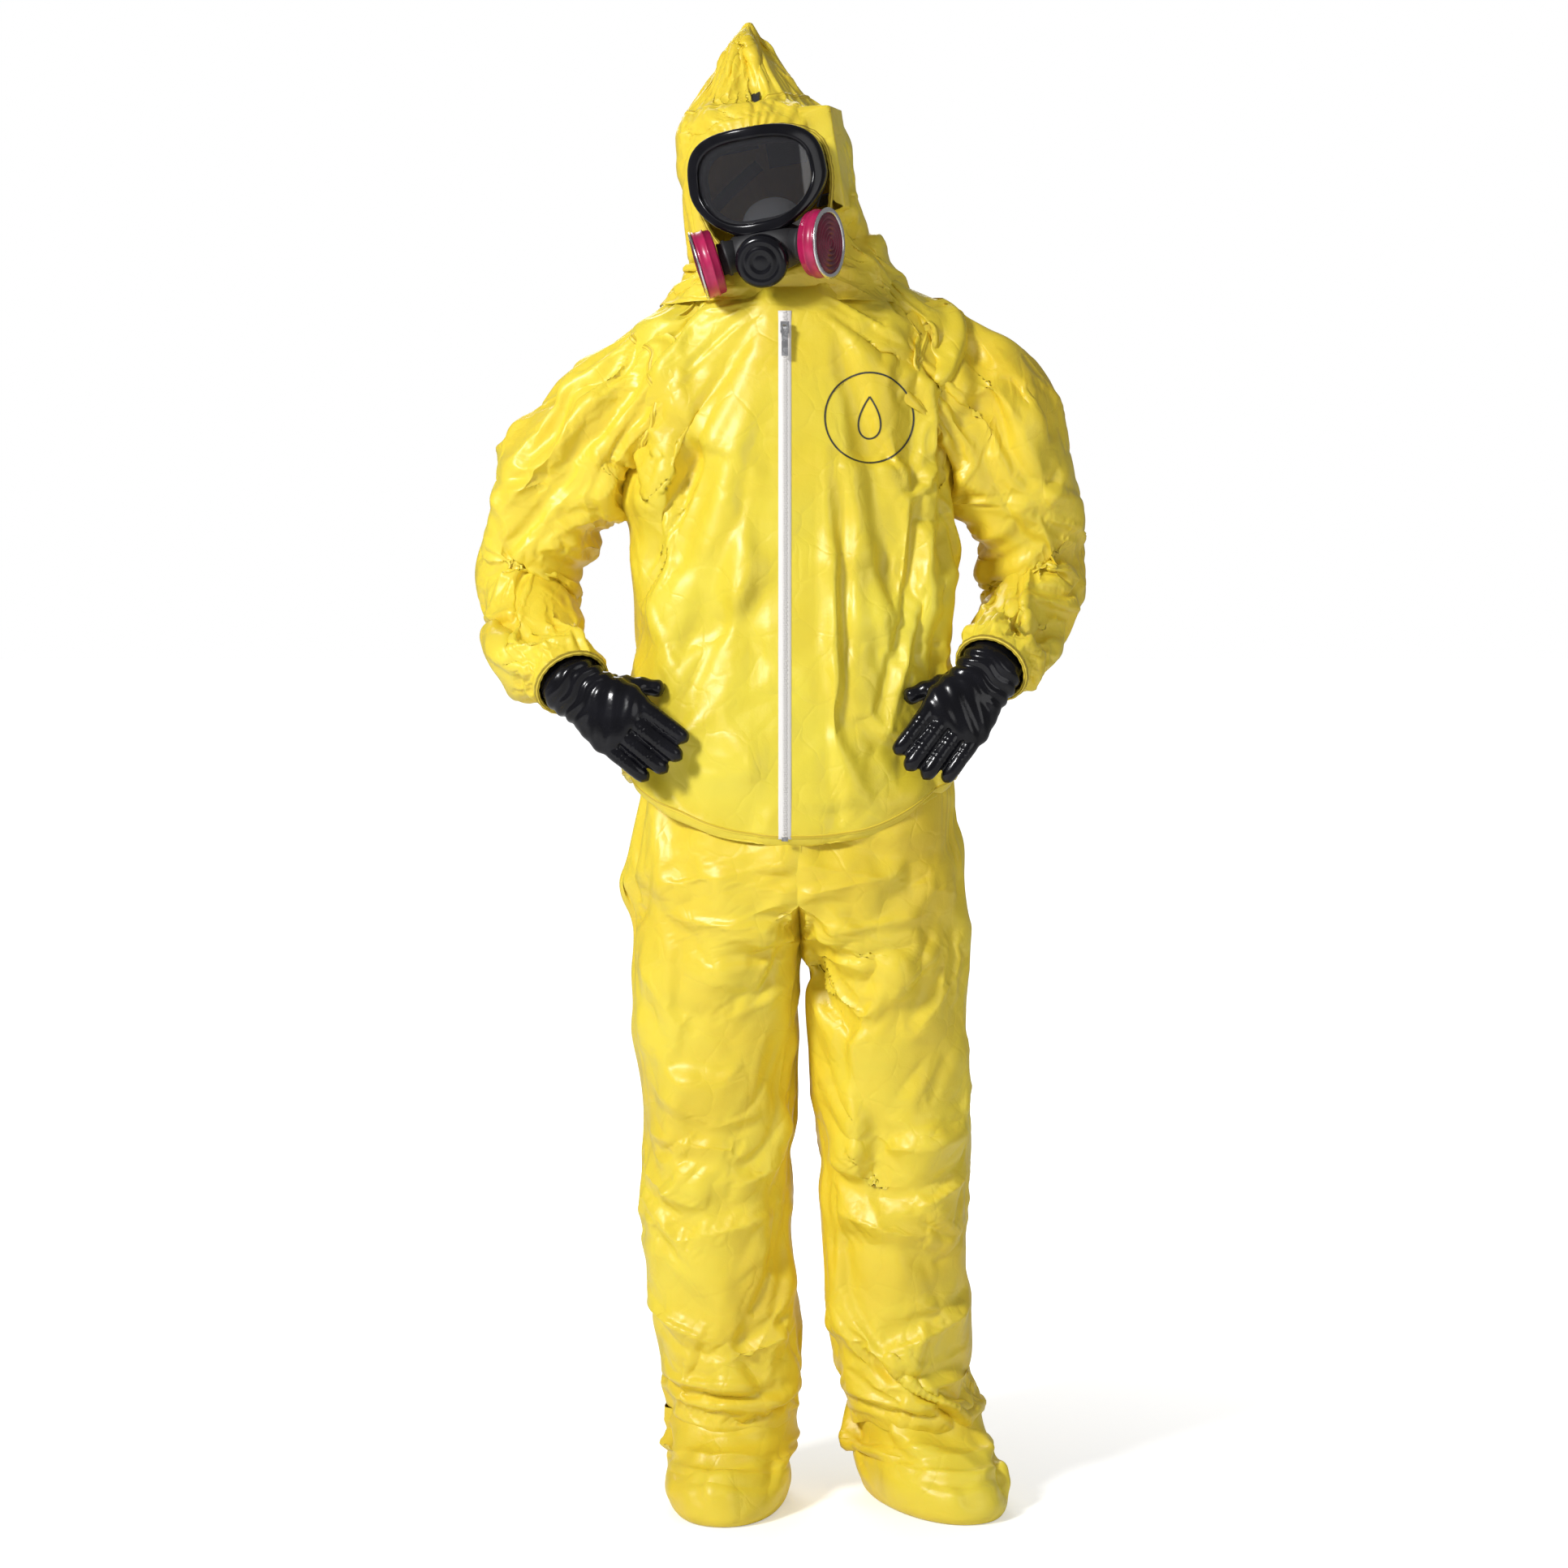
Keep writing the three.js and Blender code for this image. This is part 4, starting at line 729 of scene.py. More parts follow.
# above the crotch a ring is half of the hips, up to the centre seam, and below it the leg's own oval
def trouserGrid(side, hand):
    look = trouserLook
    z = np.concatenate([np.linspace(0.952, 0.70, 62), np.linspace(0.70, 0.100, look["along"] - 61)[1:]])
    angle = 2 * np.pi * np.arange(look["around"]) / look["around"]
    leg, depth, hip = (np.array(sorted(rows)) for rows in (look["legs"][side], look["depth"], look["hip"]))
    at = lambda table, k: np.interp(z, table[:, 0], table[:, k])[:, None]
    cos, sin = np.cos(angle)[None, :], np.sin(angle)[None, :]
    legX = at(leg, 1) + at(leg, 2) * cos
    legY = at(depth, 1) + at(depth, 2) * sin
    seam = (boxOf("trouser_top_right")[1][0] + boxOf("trouser_top_left")[0][0]) / 2
    hipLow, hipHigh = boxOf("trouser_top_right")[0][0], boxOf("trouser_top_left")[1][0]
    middle = (hipLow + hipHigh) / 2
    outside = np.cos(angle) * hand > 0
    hipY = (at(hip, 2) + at(hip, 3)) / 2 + (at(hip, 3) - at(hip, 2)) / 2 * np.sin(angle)[None, :]
    wide = np.abs(np.cos(angle)) ** 0.9
    fullX = middle + hand * at(hip, 1) * wide[None, :]
    innerX = np.broadcast_to(seam - hand * 0.003, fullX.shape)
    hipX = np.where(outside[None, :], fullX, innerX)
    share = smooth(look["crotch"] - 0.03, look["crotch"] + 0.05, z)[:, None]
    x = legX * (1 - share) + hipX * share
    y = legY * (1 - share) + hipY * share
    grid = np.stack([x, y, np.broadcast_to(z[:, None], x.shape)], -1)
    return grid[::-1]  # from the ankle up, so that the faces point out


def trouserFolds(hand):
    # v runs from the ankle (0) to the waist (1); u 0.75 is the front, and u 0 the wearer's left
    inner = 1.0 if hand < 0 else 0.5
    outer = 0.5 if hand < 0 else 1.0
    toIn = lambda share: 0.75 + (inner - 0.75) * share
    toOut = lambda share: 0.75 + (outer - 0.75) * share
    folds = [
        (toIn(0.75), 0.755, toOut(0.10), 0.83, 0.014, 0.010),
        (toIn(0.80), 0.735, toOut(0.20), 0.765, 0.013, 0.010),
        (toIn(0.85), 0.715, toOut(0.05), 0.705, 0.012, 0.009),
        (toIn(0.9), 0.70, toIn(0.1), 0.63, 0.012, 0.008),
        (toOut(0.8), 0.82, toIn(0.1), 0.88, 0.016, 0.009), (toOut(0.7), 0.72, toOut(0.2), 0.60, 0.016, 0.008),
        (toOut(0.8), 0.455, toIn(0.2), 0.43, 0.012, 0.010),
        (toOut(0.9), 0.40, toOut(0.1), 0.345, 0.012, 0.011),
        (toIn(0.8), 0.42, toIn(0.1), 0.375, 0.012, 0.009), (toIn(0.7), 0.34, toOut(0.3), 0.30, 0.014, 0.009),
        (toOut(0.95), 0.20, toIn(0.2), 0.13, 0.012, 0.011), (toIn(0.8), 0.16, toOut(0.2), 0.11, 0.012, 0.010),
        (toOut(0.8), 0.09, toIn(0.5), 0.075, 0.010, 0.010),
        (toIn(0.8), 0.06, toOut(0.5), 0.045, 0.009, 0.009),
        (0.25, 0.62, 0.30, 0.44, 0.018, 0.010), (0.10, 0.42, 0.40, 0.40, 0.013, -0.012),
        (0.12, 0.375, 0.38, 0.36, 0.013, 0.012), (0.15, 0.70, 0.35, 0.72, 0.014, 0.010),
    ]
    folds += strewnFolds(31 + hand, 26, (0, 1), (0.30, 0.50), 0.1, 0.5, (0.08, 0.24), (0.007, 0.013),
                         (0.002, 0.006))
    folds += strewnFolds(37 + hand, 18, (0, 1), (0.01, 0.20), 0.1, 0.5, (0.10, 0.26), (0.006, 0.012),
                         (0.002, 0.005))
    if hand > 0:  # the long tuck across the left shin
        folds += [(0.68, 0.135, 0.90, 0.0, 0.010, 0.015), (0.70, 0.115, 0.88, 0.0, 0.008, -0.010)]
    # folds that meet at the crotch
    folds += [(toIn(0.95), 0.745, toOut(0.35), 0.86, 0.009, 0.010),
              (toIn(0.95), 0.735, toOut(0.6), 0.80, 0.009, 0.009),
              (toIn(0.95), 0.76, toIn(0.3), 0.93, 0.009, 0.008)]
    folds += strewnFolds(41 + hand, 34, (0, 1), (0.48, 0.95), 1.2, 0.6, (0.06, 0.16), (0.008, 0.015),
                         (0.002, 0.005))
    return folds


trouserCloth = {}
for side, hand in (("right", -1), ("left", 1)):
    raw = trouserGrid(side, hand)
    height = raw[:, :1, 2]
    v = np.linspace(0, 1, len(raw))[:, None]
    crush = np.exp(-(((height - 0.16) / 0.08) ** 2)) * 0.13 + np.exp(-(((height - 0.44) / 0.09) ** 2)) * 0.07
    grown = np.broadcast_to(trouserLook["growth"] + crush, raw.shape[:2]).copy()
    hold = np.full(raw.shape[:2], trouserLook["hold"])
    seam = (boxOf("trouser_top_right")[1][0] + boxOf("trouser_top_left")[0][0]) / 2
    nearSeam = (np.abs(raw[:, :, 0] - seam) < 0.012) & (raw[:, :, 2] > trouserLook["crotch"] - 0.01)
    hold[nearSeam] = 1
    hold[[0, 1, -3, -2, -1]] = 1
    fade = np.where(nearSeam, 0.0, 1.0) * smooth(0, 0.01, v) * (1 - smooth(0.985, 1, v))
    cloth = settleCloth(foldCloth(raw, trouserFolds(hand), fade), grown, hold)
    over = trouserLook["crotch"] - 0.02 < cloth[:, :, 2]
    edge = seam - hand * 0.003
    cloth[:, :, 0] = np.where(over & ((cloth[:, :, 0] - edge) * hand < 0), edge, cloth[:, :, 0])
    cloth = finer(cloth)
    apart = smooth(0.0, 0.03, np.abs(cloth[:, :, 0] - seam)
                   + np.maximum(0, trouserLook["crotch"] - 0.03 - cloth[:, :, 2]))
    cloth = crumple(cloth, 9 + hand, 0.07, 0.12, apart)
    trouserCloth[side] = cloth
    heights = cloth[:, :, 2].mean(1)
    row = int(np.argmin(np.abs(heights - trouserLook["splitHeight"])))
    normals = gridNormals(cloth)
    lowerLeg = gridPiece(f"trouserLeg_{side}", cloth[: row + 1], "cloth", normals=normals[: row + 1])
    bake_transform(lowerLeg)
    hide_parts(f"trouser_thigh_{side}", f"knee_fold_{side}", f"trouser_shin_{side}")
    seat = gridPiece(f"trouserSeat_{side}", cloth[row:], "cloth", normals=normals[row:])
    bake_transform(seat)
    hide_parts(f"trouser_top_{side}", f"hip_fold_{side}")
report("trousers")

# socks
sockLook = {
    "around": 96, "along": 64,
    # height, forward, half width, half length
    "rows": [(0.0004, 0.040, 0.058, 0.118), (0.0006, 0.039, 0.066, 0.128), (0.006, 0.038, 0.073, 0.135),
             (0.020, 0.037, 0.079, 0.138), (0.040, 0.033, 0.082, 0.134), (0.058, 0.022, 0.082, 0.123),
             (0.076, 0.006, 0.082, 0.108), (0.094, -0.006, 0.082, 0.096), (0.118, -0.010, 0.082, 0.088)],
    "toeOut": {"right": -4, "left": 24},
}

for side, hand in (("right", -1), ("left", 1)):
    angle = math.radians(sockLook["toeOut"][side])
    ahead = vec(math.sin(angle), -math.cos(angle), 0)
    across = vec(-ahead[1], ahead[0], 0)
    ankle = vec({"right": -0.069, "left": 0.179}[side], 0.049, 0)
    stations = [(ankle + ahead * f + vec(0, 0, z), across * w, -ahead * l) for z, f, w, l in sockLook["rows"]]
    grid = sweptTube(stations, sockLook["around"], sockLook["along"], power=0.92)
    folds = [(-0.10, 0.62, 0.20, 0.55, 0.008, 0.006), (0.30, 0.60, 0.62, 0.66, 0.008, 0.006),
             (0.62, 0.70, 0.88, 0.66, 0.009, 0.007), (0.60, 0.56, 0.90, 0.50, 0.009, 0.006),
             (0.66, 0.42, 0.84, 0.38, 0.010, 0.004)]
    folds += strewnFolds(51 + hand, 14, (0, 1), (0.45, 0.95), 0.15, 0.4, (0.08, 0.2), (0.005, 0.009),
                         (0.002, 0.005))
    grid = foldCloth(grid, folds, smooth(0.25, 0.45, np.linspace(0, 1, len(grid)))[:, None])
    grid[:, :, 2] = np.maximum(grid[:, :, 2], 0.0002)
    grid = finer(grid)
    grid = crumple(grid, 15 + hand, 0.045, 0.13, smooth(0.2, 0.4, np.linspace(0, 1, len(grid)))[:, None])
    grid[:, :, 2] = np.maximum(grid[:, :, 2], 0.0002)
    sock = gridPiece(f"sock_{side}_cloth", grid, "cloth", caps=(True, False))
    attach(sock, f"shin_{side}")
    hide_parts(f"sock_{side}")
report("socks")

# head frame: the hood and the respirator share one tilted and turned frame
headPose = {"tilt": -9, "turn": -13}
headOrigin = jointPlace("neck_turn")


def headAxes():
    tilt, turn = math.radians(headPose["tilt"]), math.radians(headPose["turn"])
    about = np.array([[math.cos(tilt), 0, math.sin(tilt)], [0, 1, 0], [-math.sin(tilt), 0, math.cos(tilt)]])
    spin = np.array([[math.cos(turn), -math.sin(turn), 0], [math.sin(turn), math.cos(turn), 0], [0, 0, 1]])
    return about @ spin


axes = headAxes()


def fromHead(points):  # places in the head's own frame, in metres, to the suit's frame
    return np.asarray(points) @ axes.T + headOrigin


def toHead(points):
    return (np.asarray(points) - headOrigin) @ axes


maskLook = {"halfWidth": 0.077, "halfHeight": 0.055, "height": 0.104, "front": -0.136, "bend": 0.125,
            "frame": 0.011, "cheekTaper": 0.34, "corner": 0.62}


def maskOutline(s, grow=0.0):  # the lens outline: a squared oval, narrower at the cheeks
    angle = 2 * np.pi * s
    squared = lambda c: np.sign(c) * np.abs(c) ** maskLook["corner"]
    z = (maskLook["halfHeight"] + grow) * squared(np.sin(angle))
    taper = 1 - maskLook["cheekTaper"] * np.maximum(0, -z / maskLook["halfHeight"]) ** 1.5
    x = (maskLook["halfWidth"] + grow) * squared(np.cos(angle)) * taper
    return x, z + maskLook["height"]


def maskDepth(x, depth=0.0):
    return maskLook["front"] + x**2 / (2 * maskLook["bend"]) + depth


# hood
hoodLook = {
    "around": 176, "along": 150, "growth": 0.035, "hold": 0.10, "opening": 0.0115, "chin": 0.004,
    "strapRoom": 0.0985,
    "neck": [((0.010, 0.046, 1.548), 0.172, 0.112), ((0.010, 0.044, 1.566), 0.156, 0.105),
             ((0.006, 0.040, 1.588), 0.131, 0.100)],
    # height above the neck, half width, front, back and sideways shift
    "rows": [(0.028, 0.112, -0.084, 0.110, -0.012), (0.060, 0.111, -0.094, 0.115, -0.011),
             (0.110, 0.112, -0.106, 0.121, -0.012), (0.150, 0.114, -0.109, 0.125, -0.013),
             (0.182, 0.110, -0.103, 0.121, -0.014), (0.212, 0.089, -0.086, 0.112, -0.024),
             (0.242, 0.066, -0.062, 0.097, -0.025), (0.270, 0.043, -0.036, 0.077, -0.020),
             (0.296, 0.024, -0.012, 0.056, -0.014), (0.313, 0.013, 0.008, 0.040, -0.010),
             (0.319, 0.003, 0.018, 0.026, -0.008)],
}


def hoodGrid():
    stations = [(np.array(c), vec(w, 0, 0), vec(0, d, 0)) for c, w, d in hoodLook["neck"]]
    for z, w, f, b, across in hoodLook["rows"]:
        centre = fromHead([across, (f + b) / 2, z])
        stations.append((centre, axes @ vec(w, 0, 0), axes @ vec(0, (b - f) / 2, 0)))
    return sweptTube(stations, hoodLook["around"], hoodLook["along"], power=0.95)


# how far a place lies from the middle of the face, how far the opening reaches there, and the bearing
def openingReach(x, z):
    height = z - maskLook["height"]
    s = np.linspace(0, 1, 721)[:-1]
    ox, oz = maskOutline(s, hoodLook["opening"])
    below = np.maximum(0, (maskLook["height"] - oz) / (maskLook["halfHeight"] + hoodLook["opening"]))
    oz = np.where(below > 0, maskLook["height"] - below * (maskLook["height"] - hoodLook["chin"]), oz)
    ox = ox * (1 + 0.25 * below**2)
    bearing = np.arctan2(oz - maskLook["height"], ox)
    order = np.argsort(bearing)
    reach = np.hypot(ox, oz - maskLook["height"])[order]
    here = np.arctan2(height, x)
    return np.hypot(x, height), np.interp(here, bearing[order], reach, period=2 * np.pi), here


def gatherFace(grid):
    local = toHead(grid)
    x, y, z = local[..., 0], local[..., 1], local[..., 2]
    radius, reach, bearing = openingReach(x, z)
    near = np.where(y < 0.02, np.exp(-np.maximum(radius - reach, 0) / 0.022), 0)
    near = near * (0.25 + 0.75 * smooth(0.2, 0.9, np.sin(bearing)))
    uneven = 0.6 + 0.4 * np.sin(9 * bearing + 1.3)
    gathers = 0.0028 * uneven * np.sin(36 * bearing + 3.4 * np.sin(4 * bearing + 0.6)) * near
    return grid + gridNormals(grid) * (gathers + 0.004 * near)[..., None]


def hoodFolds():
    folds = [(0.75, 0.80, 0.75, 0.93, 0.010, 0.007), (0.71, 0.80, 0.73, 0.90, 0.008, 0.006),
             (0.79, 0.80, 0.77, 0.91, 0.008, 0.006), (0.05, 0.30, 0.02, 0.62, 0.012, 0.007),
             (0.92, 0.16, 0.98, 0.44, 0.012, 0.008), (0.97, 0.10, 0.06, 0.26, 0.012, 0.008),
             (0.55, 0.16, 0.50, 0.42, 0.012, 0.008), (0.46, 0.10, 0.56, 0.20, 0.012, 0.008),
             (0.88, 0.06, 0.95, 0.22, 0.010, 0.008), (0.60, 0.07, 0.55, 0.22, 0.010, 0.008),
             (0.20, 0.14, 0.30, 0.18, 0.012, 0.010), (0.18, 0.22, 0.32, 0.25, 0.012, -0.009),
             (0.25, 0.35, 0.24, 0.75, 0.016, 0.006), (0.40, 0.50, 0.44, 0.80, 0.012, 0.006)]
    folds += strewnFolds(61, 34, (0, 1), (0.02, 0.35), 0.5, 0.6, (0.04, 0.12), (0.006, 0.011), (0.002, 0.005))
    folds += strewnFolds(67, 26, (0, 1), (0.4, 0.9), 1.3, 0.5, (0.05, 0.14), (0.006, 0.012), (0.002, 0.004))
    return folds


raw = hoodGrid()
hold = np.full(raw.shape[:2], hoodLook["hold"])
hold[[0, 1, -2, -1]] = 1
local = toHead(raw)
radius, reach, _ = openingReach(local[..., 0], local[..., 2])
inFace = (local[..., 1] < 0.0) & (radius < reach + 0.012)
hold[inFace] = 1
fade = np.where(inFace, 0.25, 1.0) * (1 - smooth(0.93, 1, np.linspace(0, 1, len(raw))))[:, None]
hoodCloth = finer(settleCloth(foldCloth(raw, hoodFolds(), fade), np.full(hold.shape, hoodLook["growth"]),
                              hold))
local = toHead(hoodCloth)
radius, reach, _ = openingReach(local[..., 0], local[..., 2])
fade = np.where(local[..., 1] < 0, smooth(0, 0.03, radius - reach), 1) * (1
    - smooth(0.9, 1, np.linspace(0, 1, len(hoodCloth))))[:, None]
hoodCloth = gatherFace(crumple(hoodCloth, 13, 0.055, 0.11, fade))


def clearStraps(grid):  # the cloth at the temples stays outside the straps
    local = toHead(grid)
    x, y, z = local[..., 0], local[..., 1], local[..., 2]
    share = smooth(-0.092, -0.07, y) * (1 - smooth(0, 0.04, y)) * smooth(0.045, 0.06, z) * (1
        - smooth(0.185, 0.2, z))
    local[..., 0] = np.where(np.abs(x) > 0.06, np.sign(x)
                             * np.maximum(np.abs(x), hoodLook["strapRoom"] * share), x)
    return fromHead(local)


# the cloth inside the opening is cut away later, and the cells across its edge are drawn to that edge
def trimFace(grid):
    local = toHead(grid)
    radius, reach, bearing = openingReach(local[..., 0], local[..., 2])
    inside = (local[..., 1] < 0) & (radius < reach)
    edge = inside & (radius > reach - 0.008)
    local[..., 0] = np.where(edge, reach * np.cos(bearing), local[..., 0])
    local[..., 2] = np.where(edge, maskLook["height"] + reach * np.sin(bearing), local[..., 2])
    return fromHead(local)


def outsideFace(centres):
    local = toHead(centres)
    radius, reach, _ = openingReach(local[:, 0], local[:, 2])
    return ~((local[:, 1] < 0) & (radius < reach - 0.0006))


hoodCloth = trimFace(clearStraps(hoodCloth))
hoodPiece = gridPiece("hood", hoodCloth, "cloth", caps=(False, True), keep=outsideFace)
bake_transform(hoodPiece)
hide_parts("neck_fold", "hood_crown", "hood_side_right", "hood_side_left")
hoodTree = BVHTree.FromPolygons(hoodCloth.reshape(-1, 3).tolist(),
                                gridFaces(*hoodCloth.shape[:2], True).tolist())


# the rolled elastic edge of the opening: a round section carried round the opening on the hood's surface
def openingLoop(count, grow=0.0):
    bearing = np.linspace(-np.pi, np.pi, count, endpoint=False)
    _, reach, _ = openingReach(np.cos(bearing), maskLook["height"] + np.sin(bearing))
    x, z = (reach + grow) * np.cos(bearing), maskLook["height"] + (reach + grow) * np.sin(bearing)
    points = []
    for px, pz in zip(x, z):
        start, ahead = Vector(fromHead([px, -0.3, pz])), Vector(axes @ vec(0, 1, 0))
        hit = hoodTree.ray_cast(start, ahead)[0]
        points.append(np.array(hit) if hit else fromHead([px, -0.09, pz]))
    path = np.array(points)
    for _ in range(6):
        path = (np.roll(path, 1, 0) + 2 * path + np.roll(path, -1, 0)) / 4
    return path


def loopTube(name, path, radius, material, sides=10, pleats=0.0):
    ahead = np.roll(path, -1, 0) - np.roll(path, 1, 0)
    ahead /= np.linalg.norm(ahead, axis=1, keepdims=True)
    out = path - path.mean(0)
    out -= (out * ahead).sum(1, keepdims=True) * ahead
    out /= np.linalg.norm(out, axis=1, keepdims=True)
    up = np.cross(ahead, out)
    angle = 2 * np.pi * np.arange(sides) / sides
    swell = radius * (1 + pleats * np.sin(np.arange(len(path)) * 2 * np.pi / 7))[:, None, None]
    grid = path[:, None] + swell * (out[:, None] * np.cos(angle)[None, :, None] + up[:, None]
                                    * np.sin(angle)[None, :, None])
    grid = np.concatenate([grid, grid[:1]])
    return gridPiece(name, grid[:, ::-1], material)


edgeRoll = loopTube("faceEdge", openingLoop(320), 0.0034, "elastic", pleats=0.12)
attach(edgeRoll, "head")
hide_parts("face_elastic")
report("hood")


# respirator
def headPiece(name, grid, material, node, slotName, body="head", **options):
    piece = gridPiece(name, fromHead(grid), material, **options)
    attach(piece, body)
    if node:
        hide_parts(*([node] if isinstance(node, str) else node))
    return piece


# the lens: rows shrink from the outline to the middle, first on the front face and then back out behind it
def lensGrid(count=144):
    s = np.arange(count) / count
    ox, oz = maskOutline(s)
    rows = []
    for depth, shares in ((0.0026, np.linspace(0.02, 1, 14)), (0.0, np.linspace(1, 0.02, 14))):
        for share in shares:
            x, z = ox * share, maskLook["height"] + (oz - maskLook["height"]) * share
            rows.append(np.stack([x, maskDepth(x, depth), z], -1))
    return np.array(rows)


def bandGrid(profile, count=200):  # a closed profile of (growth, depth) carried round the lens outline
    s = np.arange(count + 1) / count
    ring = []
    for grow, depth in profile + profile[:1]:
        x, z = maskOutline(s, grow)
        ring.append(np.stack([x, maskDepth(x, depth), z], -1))
    return np.array(ring)


def roundProfile(g0, d0, g1, d1, radius, steps=5):  # a box section with rounded corners
    corners = [(g1 - radius, d1 - radius, 0), (g0 + radius, d1 - radius, 1), (g0 + radius, d0 + radius, 2),
               (g1 - radius, d0 + radius, 3)]
    points = []
    for g, d, quarter in corners:
        for k in range(steps + 1):
            a = (quarter + k / steps) * math.pi / 2
            points.append((g + radius * math.cos(a), d + radius * math.sin(a)))
    return points


headPiece("lens", lensGrid(), "lens", "mask_lens", "clear_lens", caps=(True, True))
headPiece("lensFrame", bandGrid(roundProfile(-0.004, -0.0055, 0.0115, 0.0125, 0.0042)), "frame",
          "mask_frame", "gloss_black", wraps=False)
headPiece("faceSeal", bandGrid(roundProfile(-0.009, 0.0128, 0.0065, 0.039, 0.005)), "rubber", "face_seal",
          "black_rubber", wraps=False)


def lathe(origin, axis, profile, count=72):  # profile rows are (distance along, radius)
    along = unit(np.array(axis, float))
    side = unit(np.cross(along, vec(0.13, 0.2, 1)))
    other = np.cross(along, side)
    angle = 2 * np.pi * np.arange(count) / count
    circle = side * np.cos(angle)[:, None] + other * np.sin(angle)[:, None]
    rows = np.array(profile, float)
    return np.array(origin) + along * rows[:, :1, None] + circle[None] * rows[:, 1:2, None]


def roundTube(rows, around=72, along=40, power=0.85):
    stations = [((0, y, z), (w, 0, 0), (0, 0, h)) for y, w, h, z in rows]
    return sweptTube([tuple(map(np.array, s)) for s in stations], around, along, power)


chin = roundTube([(-0.1475, 0.012, 0.006, 0.015), (-0.1465, 0.026, 0.012, 0.015),
                  (-0.142, 0.038, 0.021, 0.017),
                  (-0.130, 0.048, 0.027, 0.019), (-0.112, 0.053, 0.030, 0.021),
                  (-0.099, 0.052, 0.030, 0.022)])
headPiece("chinPiece", chin[:, ::-1], "rubber", "mask_chin_piece", "black_rubber", caps=(True, False))
cup = roundTube([(-0.0915, 0.010, 0.007, 0.036), (-0.0905, 0.021, 0.0145, 0.037),
                 (-0.085, 0.031, 0.0225, 0.043),
                 (-0.072, 0.037, 0.030, 0.049), (-0.056, 0.0395, 0.0345, 0.054)], along=30, power=0.95)
headPiece("noseCup", cup[:, ::-1], "silicone", "nose_cup", "grey_silicone", caps=(True, False), wall=0.002)

outlet = {"base": (0, -0.146, 0.005), "down": 14, "radius": 0.033}
outletAxis = vec(0, -math.cos(math.radians(outlet["down"])), -math.sin(math.radians(outlet["down"])))
r = outlet["radius"]
coverProfile = [(0.001, r - 0.003), (0.001, r), (0.006, r + 0.0003), (0.0075, r - 0.001),
                (0.0085, r - 0.001), (0.010, r),
                (0.013, r - 0.001), (0.0155, r - 0.005), (0.0162, r - 0.009), (0.0148, r - 0.011),
                (0.0148, r - 0.013),
                (0.0165, r - 0.015), (0.0165, r - 0.020), (0.0150, r - 0.022), (0.0158, r - 0.025),
                (0.0160, 0.001)]
headPiece("outletCover", lathe(outlet["base"], outletAxis, coverProfile), "frame", "outlet_cover",
          "gloss_black", caps=(True, True))

cartridgeLook = {"start": 0.042, "y": -0.126, "z": 0.018, "forward": 14, "down": 8, "port": 0.016,
                 "radius": 0.043}
for side, hand in (("right", -1), ("left", 1)):
    k = cartridgeLook
    forward, down = math.radians(k["forward"]), math.radians(k["down"])
    axis = unit(vec(hand * math.cos(forward), -math.sin(forward), -math.sin(down)))
    base = vec(hand * k["start"], k["y"], k["z"])
    r, body = k["radius"], f"cartridge_{side}"
    begin = k["port"] + 0.001
    collar = [(-0.010, 0.019), (0.004, 0.0205), (0.006, 0.0225), (0.009, 0.0225), (0.010, 0.020),
              (k["port"], 0.020)]
    headPiece(f"portCollar_{side}", lathe(base, axis, collar), "rubber", None, "black_rubber",
              caps=(True, True))
    can = [(begin, 0.022), (begin + 0.001, r - 0.006), (begin + 0.003, r - 0.003),
           (begin + 0.010, r - 0.0022),
           (begin + 0.0105, r - 0.0005), (begin + 0.0125, r - 0.0005), (begin + 0.013, r - 0.002),
           (begin + 0.0215, r - 0.001), (begin + 0.0245, r), (begin + 0.025, r - 0.003)]
    headPiece(f"cartridgeCan_{side}", lathe(base, axis, can), "can", f"cartridge_can_{side}",
              "magenta_plastic", body, caps=(True, True))
    end = begin + 0.025
    rim = [(end + 0.0003, r - 0.0055), (end + 0.0005, r + 0.0004), (end + 0.0015, r + 0.0012),
           (end + 0.0028, r + 0.0006),
           (end + 0.0034, r - 0.0025), (end + 0.0028, r - 0.0055), (end + 0.0003, r - 0.0055)]
    headPiece(f"cartridgeRim_{side}", lathe(base, axis, rim), "metal", f"cartridge_rim_{side}",
              "bright_metal", body)
    lid = [(end, r - 0.0062), (end + 0.0022, r - 0.0066)]
    for step in range(5):  # ribs that get higher towards the middle
        outer = r - 0.008 - step * 0.0062
        lid += [(end + 0.0016 + step * 0.0002, outer), (end + 0.0040 + step * 0.0003, outer - 0.0012),
                (end + 0.0040 + step * 0.0003, outer - 0.0034),
                (end + 0.0018 + step * 0.0002, outer - 0.0044)]
    lid += [(end + 0.0046, 0.0035), (end + 0.005, 0.001)]
    headPiece(f"cartridgeLid_{side}", lathe(base, axis, lid), "lid", f"cartridge_lid_{side}",
              "magenta_plastic", body, caps=(True, True))
report("respirator")

# gloves
gloveLook = {
    "voxel": 0.0021, "tips": {"right": (-0.135, -0.153, 0.966), "left": (0.165, -0.159, 0.960)},
    "cuff": {"right": (-0.267, -0.099, 1.070), "left": (0.261, -0.099, 1.088)},
    # place across the palm, length, curl, radius, for the little finger to the index finger
    "fingers": [(-1.0, 0.056, 0.24, 0.0106), (-0.34, 0.070, 0.17, 0.0118), (0.32, 0.075, 0.14, 0.0122),
                (0.96, 0.066, 0.18, 0.0118)],
}


